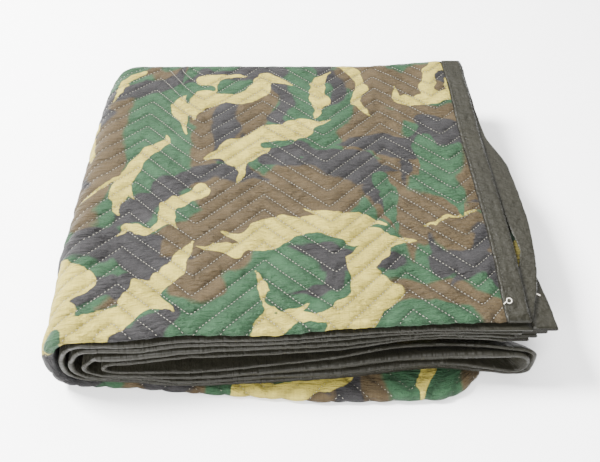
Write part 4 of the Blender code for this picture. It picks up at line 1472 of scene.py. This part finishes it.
class BlanketCloth(bpy.types.PropertyGroup):
    """Colours of the printed cloth."""
    green: bpy.props.FloatVectorProperty(
        name="Green", description="Green of the print", subtype="COLOR",
        default=(0.0175, 0.046, 0.0215))
    brown: bpy.props.FloatVectorProperty(
        name="Brown", description="Brown of the print", subtype="COLOR",
        default=(0.046, 0.0325, 0.0158))
    # Grey is also the colour of one patch of painted shade at the front of the left turn
    grey: bpy.props.FloatVectorProperty(
        name="Grey", description="Darkest colour of the print", subtype="COLOR",
        default=(0.0185, 0.0175, 0.0178))
    tan: bpy.props.FloatVectorProperty(
        name="Tan", description="Lightest colour of the print", subtype="COLOR",
        default=(0.285, 0.235, 0.047))
    edge: bpy.props.FloatVectorProperty(
        name="Edge", description="Colour of the cloth under the tape", subtype="COLOR",
        default=(0.0125, 0.0112, 0.0078))


class BlanketTape(bpy.types.PropertyGroup):
    """Look of the bound edge."""
    colour: bpy.props.FloatVectorProperty(
        name="Tape colour", description="Colour of the satin tape", subtype="COLOR",
        default=(0.0108, 0.0102, 0.0068))


class BlanketThread(bpy.types.PropertyGroup):
    """Sizes of the sewing."""
    pitch: bpy.props.FloatProperty(
        name="Stitch pitch", description="Length from one stitch to the next", unit="LENGTH",
        default=4.3 * MM)
    length: bpy.props.FloatProperty(
        name="Stitch length", description="Length of one stitch", default=2.6 * MM, unit="LENGTH")
    width: bpy.props.FloatProperty(
        name="Thread width", description="Thickness of the thread", default=0.62 * MM, unit="LENGTH")
    colour: bpy.props.FloatVectorProperty(
        name="Thread colour", description="Colour of the quilting thread", subtype="COLOR",
        default=(0.25, 0.237, 0.195))
    loose_colour: bpy.props.FloatVectorProperty(
        name="Loose thread", description="Colour of the loose thread and the bar stitch", subtype="COLOR",
        default=(0.6, 0.56, 0.48))


class BlanketStudio(bpy.types.PropertyGroup):
    """Floor and light."""
    floor_size: bpy.props.FloatProperty(
        name="Floor size", description="Side of the floor", default=12.0, unit="LENGTH")
    key_power: bpy.props.FloatProperty(
        name="Key light", description="Strength of the main light", default=410.0)
    overhead_power: bpy.props.FloatProperty(
        name="Overhead light", description="Strength of the wide light above the stack", default=110.0)
    front_power: bpy.props.FloatProperty(
        name="Front light", description="Strength of the soft light from the front", default=150.0)
    fill: bpy.props.FloatProperty(
        name="Fill light", description="Strength of the light from all round", default=0.66)


class BLANKET_OT_cloth(bpy.types.Operator):
    """Make the folded printed cloth with its quilting"""
    bl_idname = "blanket.cloth"
    bl_label = "Folded cloth"

    def execute(self, context):
        verts, faces, places, rises = cloth_mesh()
        obj = made_mesh("folded_cloth", verts, faces)
        add_uv(obj, places)
        # quilt_rise also drives the painted shade in the sewn furrows of the cloth's material
        add_values(obj, "quilt_rise", rises)
        for colour, values in print_fields(places[:, 0], places[:, 1]).items():
            add_values(obj, "print_" + colour, values)
        obj.data.materials.append(printed_cloth(context.scene.blanket_cloth))
        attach(obj, "root")
        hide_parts("quilted_panel")
        return {"FINISHED"}


TAPES = (
    ("first", "tape_first_front", "binding_first_front"),
    ("second", "tape_second_front", "binding_second_front"),
    ("start", "tape_upper_end", "binding_upper_end"),
    ("end", "tape_lower_end", "binding_lower_end"),
)


class BLANKET_OT_tapes(bpy.types.Operator):
    """Make the satin tape round the four edges of the cloth"""
    bl_idname = "blanket.tapes"
    bl_label = "Bound edges"

    def execute(self, context):
        material = satin_tape(context.scene.blanket_tape)
        for side, name, node in TAPES:
            verts, faces, places = tape_mesh(side)
            obj = made_mesh(name, verts, faces)
            add_uv(obj, places)
            obj.data.materials.append(material)
            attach(obj, "root")
            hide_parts(node)
        return {"FINISHED"}


class BLANKET_OT_quilting(bpy.types.Operator):
    """Sew the zigzag rows of quilting"""
    bl_idname = "blanket.quilting"
    bl_label = "Quilting thread"

    def execute(self, context):
        settings = context.scene.blanket_thread
        thread = sewing_thread("quilting_thread", tuple(settings.colour))
        obj = sewn("quilting_stitches", *quilting_stitches(settings), thread,
                   settings.length / MM, settings.width / MM)
        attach(obj, "root")
        return {"FINISHED"}


class BLANKET_OT_tape_sewing(bpy.types.Operator):
    """Sew the line of stitches that holds the tape"""
    bl_idname = "blanket.tape_sewing"
    bl_label = "Tape thread"

    def execute(self, context):
        thread = sewing_thread("tape_thread", TAPE_STITCH_COLOUR)
        obj = sewn("tape_stitches", *tape_stitches(), thread, TAPE_STITCH_LENGTH, TAPE_STITCH_WIDTH)
        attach(obj, "root")
        return {"FINISHED"}


class BLANKET_OT_loose_thread(bpy.types.Operator):
    """Make the heavy bar stitch and the loose end of thread"""
    bl_idname = "blanket.loose_thread"
    bl_label = "Loose thread"

    def execute(self, context):
        settings = context.scene.blanket_thread
        verts, faces = [], []
        for line, radius in ((bar_line(), BAR_WIDTH), (loop_line(), LOOSE_WIDTH)):
            points, rings = thread_tube(line, radius)
            faces += [tuple(k + len(verts) for k in face) for face in rings]
            verts += points.tolist()
        obj = made_mesh("loose_thread", np.array(verts), faces)
        obj.data.materials.append(sewing_thread("loose_thread", tuple(settings.loose_colour)))
        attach(obj, "root")
        return {"FINISHED"}


def camera_matrix():
    """Turn and place of the camera that the photograph was taken with."""
    yaw, tilt, roll = (math.radians(x) for x in (CAMERA_YAW, CAMERA_TILT, CAMERA_ROLL))
    right = np.array([math.cos(yaw), math.sin(yaw), 0.0])
    ahead = np.array([-math.sin(yaw), math.cos(yaw), 0.0])
    up = np.array([0.0, 0.0, 1.0])
    forward = math.cos(tilt) * ahead - math.sin(tilt) * up
    upward = math.sin(tilt) * ahead + math.cos(tilt) * up
    side = math.cos(roll) * right + math.sin(roll) * upward
    top = -math.sin(roll) * right + math.cos(roll) * upward
    place = (np.array(CAMERA_PLACE) - CENTRE) * MM
    matrix = Matrix.Identity(4)
    for row in range(3):
        matrix[row][0] = side[row]
        matrix[row][1] = top[row]
        matrix[row][2] = -forward[row]
        matrix[row][3] = place[row]
    return matrix


def area_light(name, place, aim, size, power):
    light = bpy.data.lights.new(name, "AREA")
    light.shape = "RECTANGLE"
    light.size, light.size_y = size
    light.energy = power
    obj = placed(name, light)
    way = Vector(aim) - Vector(place)
    obj.matrix_world = Matrix.Translation(place) @ way.to_track_quat("-Z", "Y").to_matrix().to_4x4()


class BLANKET_OT_stage(bpy.types.Operator):
    """Set the floor, the light and the camera"""
    bl_idname = "blanket.stage"
    bl_label = "Studio"

    def execute(self, context):
        settings = context.scene.blanket_studio
        half = 0.5 * settings.floor_size
        mesh = bpy.data.meshes.new("floor")
        mesh.from_pydata([(-half, -half, 0.0), (half, -half, 0.0), (half, half, 0.0), (-half, half, 0.0)],
                         [], [(0, 1, 2, 3)])
        floor = placed("floor", mesh)
        material = bpy.data.materials.new("pale_floor")
        material.use_nodes = True
        sockets = material.node_tree.nodes["Principled BSDF"].inputs
        sockets["Base Color"].default_value = FLOOR_COLOUR
        sockets["Roughness"].default_value = FLOOR_ROUGHNESS
        sockets["Specular IOR Level"].default_value = 0.0
        mesh.materials.append(material)
        world = bpy.data.worlds.new("studio")
        world.use_nodes = True
        sky = world.node_tree.nodes["Background"].inputs
        sky["Color"].default_value = (1.0, 1.0, 1.0, 1.0)
        sky["Strength"].default_value = settings.fill
        context.scene.world = world
        for name, place, aim, size in LIGHTS:
            area_light(name, place, aim, size, getattr(settings, name + "_power"))
        camera = bpy.data.cameras.new("camera")
        camera.sensor_width = SENSOR
        camera.lens = FOCAL_PIXELS * SENSOR / PHOTO_FRAME[0]
        camera.clip_start, camera.clip_end = 0.01, 50.0
        obj = placed("camera", camera)
        obj.matrix_world = camera_matrix()
        context.scene.camera = obj
        return {"FINISHED"}


OPERATORS = (
    BLANKET_OT_stage, BLANKET_OT_cloth, BLANKET_OT_tapes, BLANKET_OT_quilting, BLANKET_OT_tape_sewing,
    BLANKET_OT_loose_thread,
)


class BLANKET_PT_panel(bpy.types.Panel):
    """Steps that make the blanket"""
    bl_idname = "BLANKET_PT_panel"
    bl_label = "Folded blanket"
    bl_space_type = "VIEW_3D"
    bl_region_type = "UI"
    bl_category = "Blanket"

    def draw(self, context):
        for name in ("blanket_cloth", "blanket_tape", "blanket_thread", "blanket_studio"):
            settings = getattr(context.scene, name)
            for label in settings.__annotations__:
                self.layout.prop(settings, label)
        for operator in OPERATORS:
            self.layout.operator(operator.bl_idname)


GROUPS = (
    ("blanket_cloth", BlanketCloth), ("blanket_tape", BlanketTape),
    ("blanket_thread", BlanketThread), ("blanket_studio", BlanketStudio),
)


def register():
    for name, group in GROUPS:
        bpy.utils.register_class(group)
        setattr(bpy.types.Scene, name, bpy.props.PointerProperty(type=group))
    for operator in OPERATORS:
        bpy.utils.register_class(operator)
    bpy.utils.register_class(BLANKET_PT_panel)


def unregister():
    bpy.utils.unregister_class(BLANKET_PT_panel)
    for operator in reversed(OPERATORS):
        bpy.utils.unregister_class(operator)
    for name, group in reversed(GROUPS):
        delattr(bpy.types.Scene, name)
        bpy.utils.unregister_class(group)


def main():
    register()
    bpy.ops.blanket.stage()
    bpy.ops.blanket.cloth()
    bpy.ops.blanket.tapes()
    bpy.ops.blanket.quilting()
    bpy.ops.blanket.tape_sewing()
    bpy.ops.blanket.loose_thread()


if __name__ == "__main__":
    main()
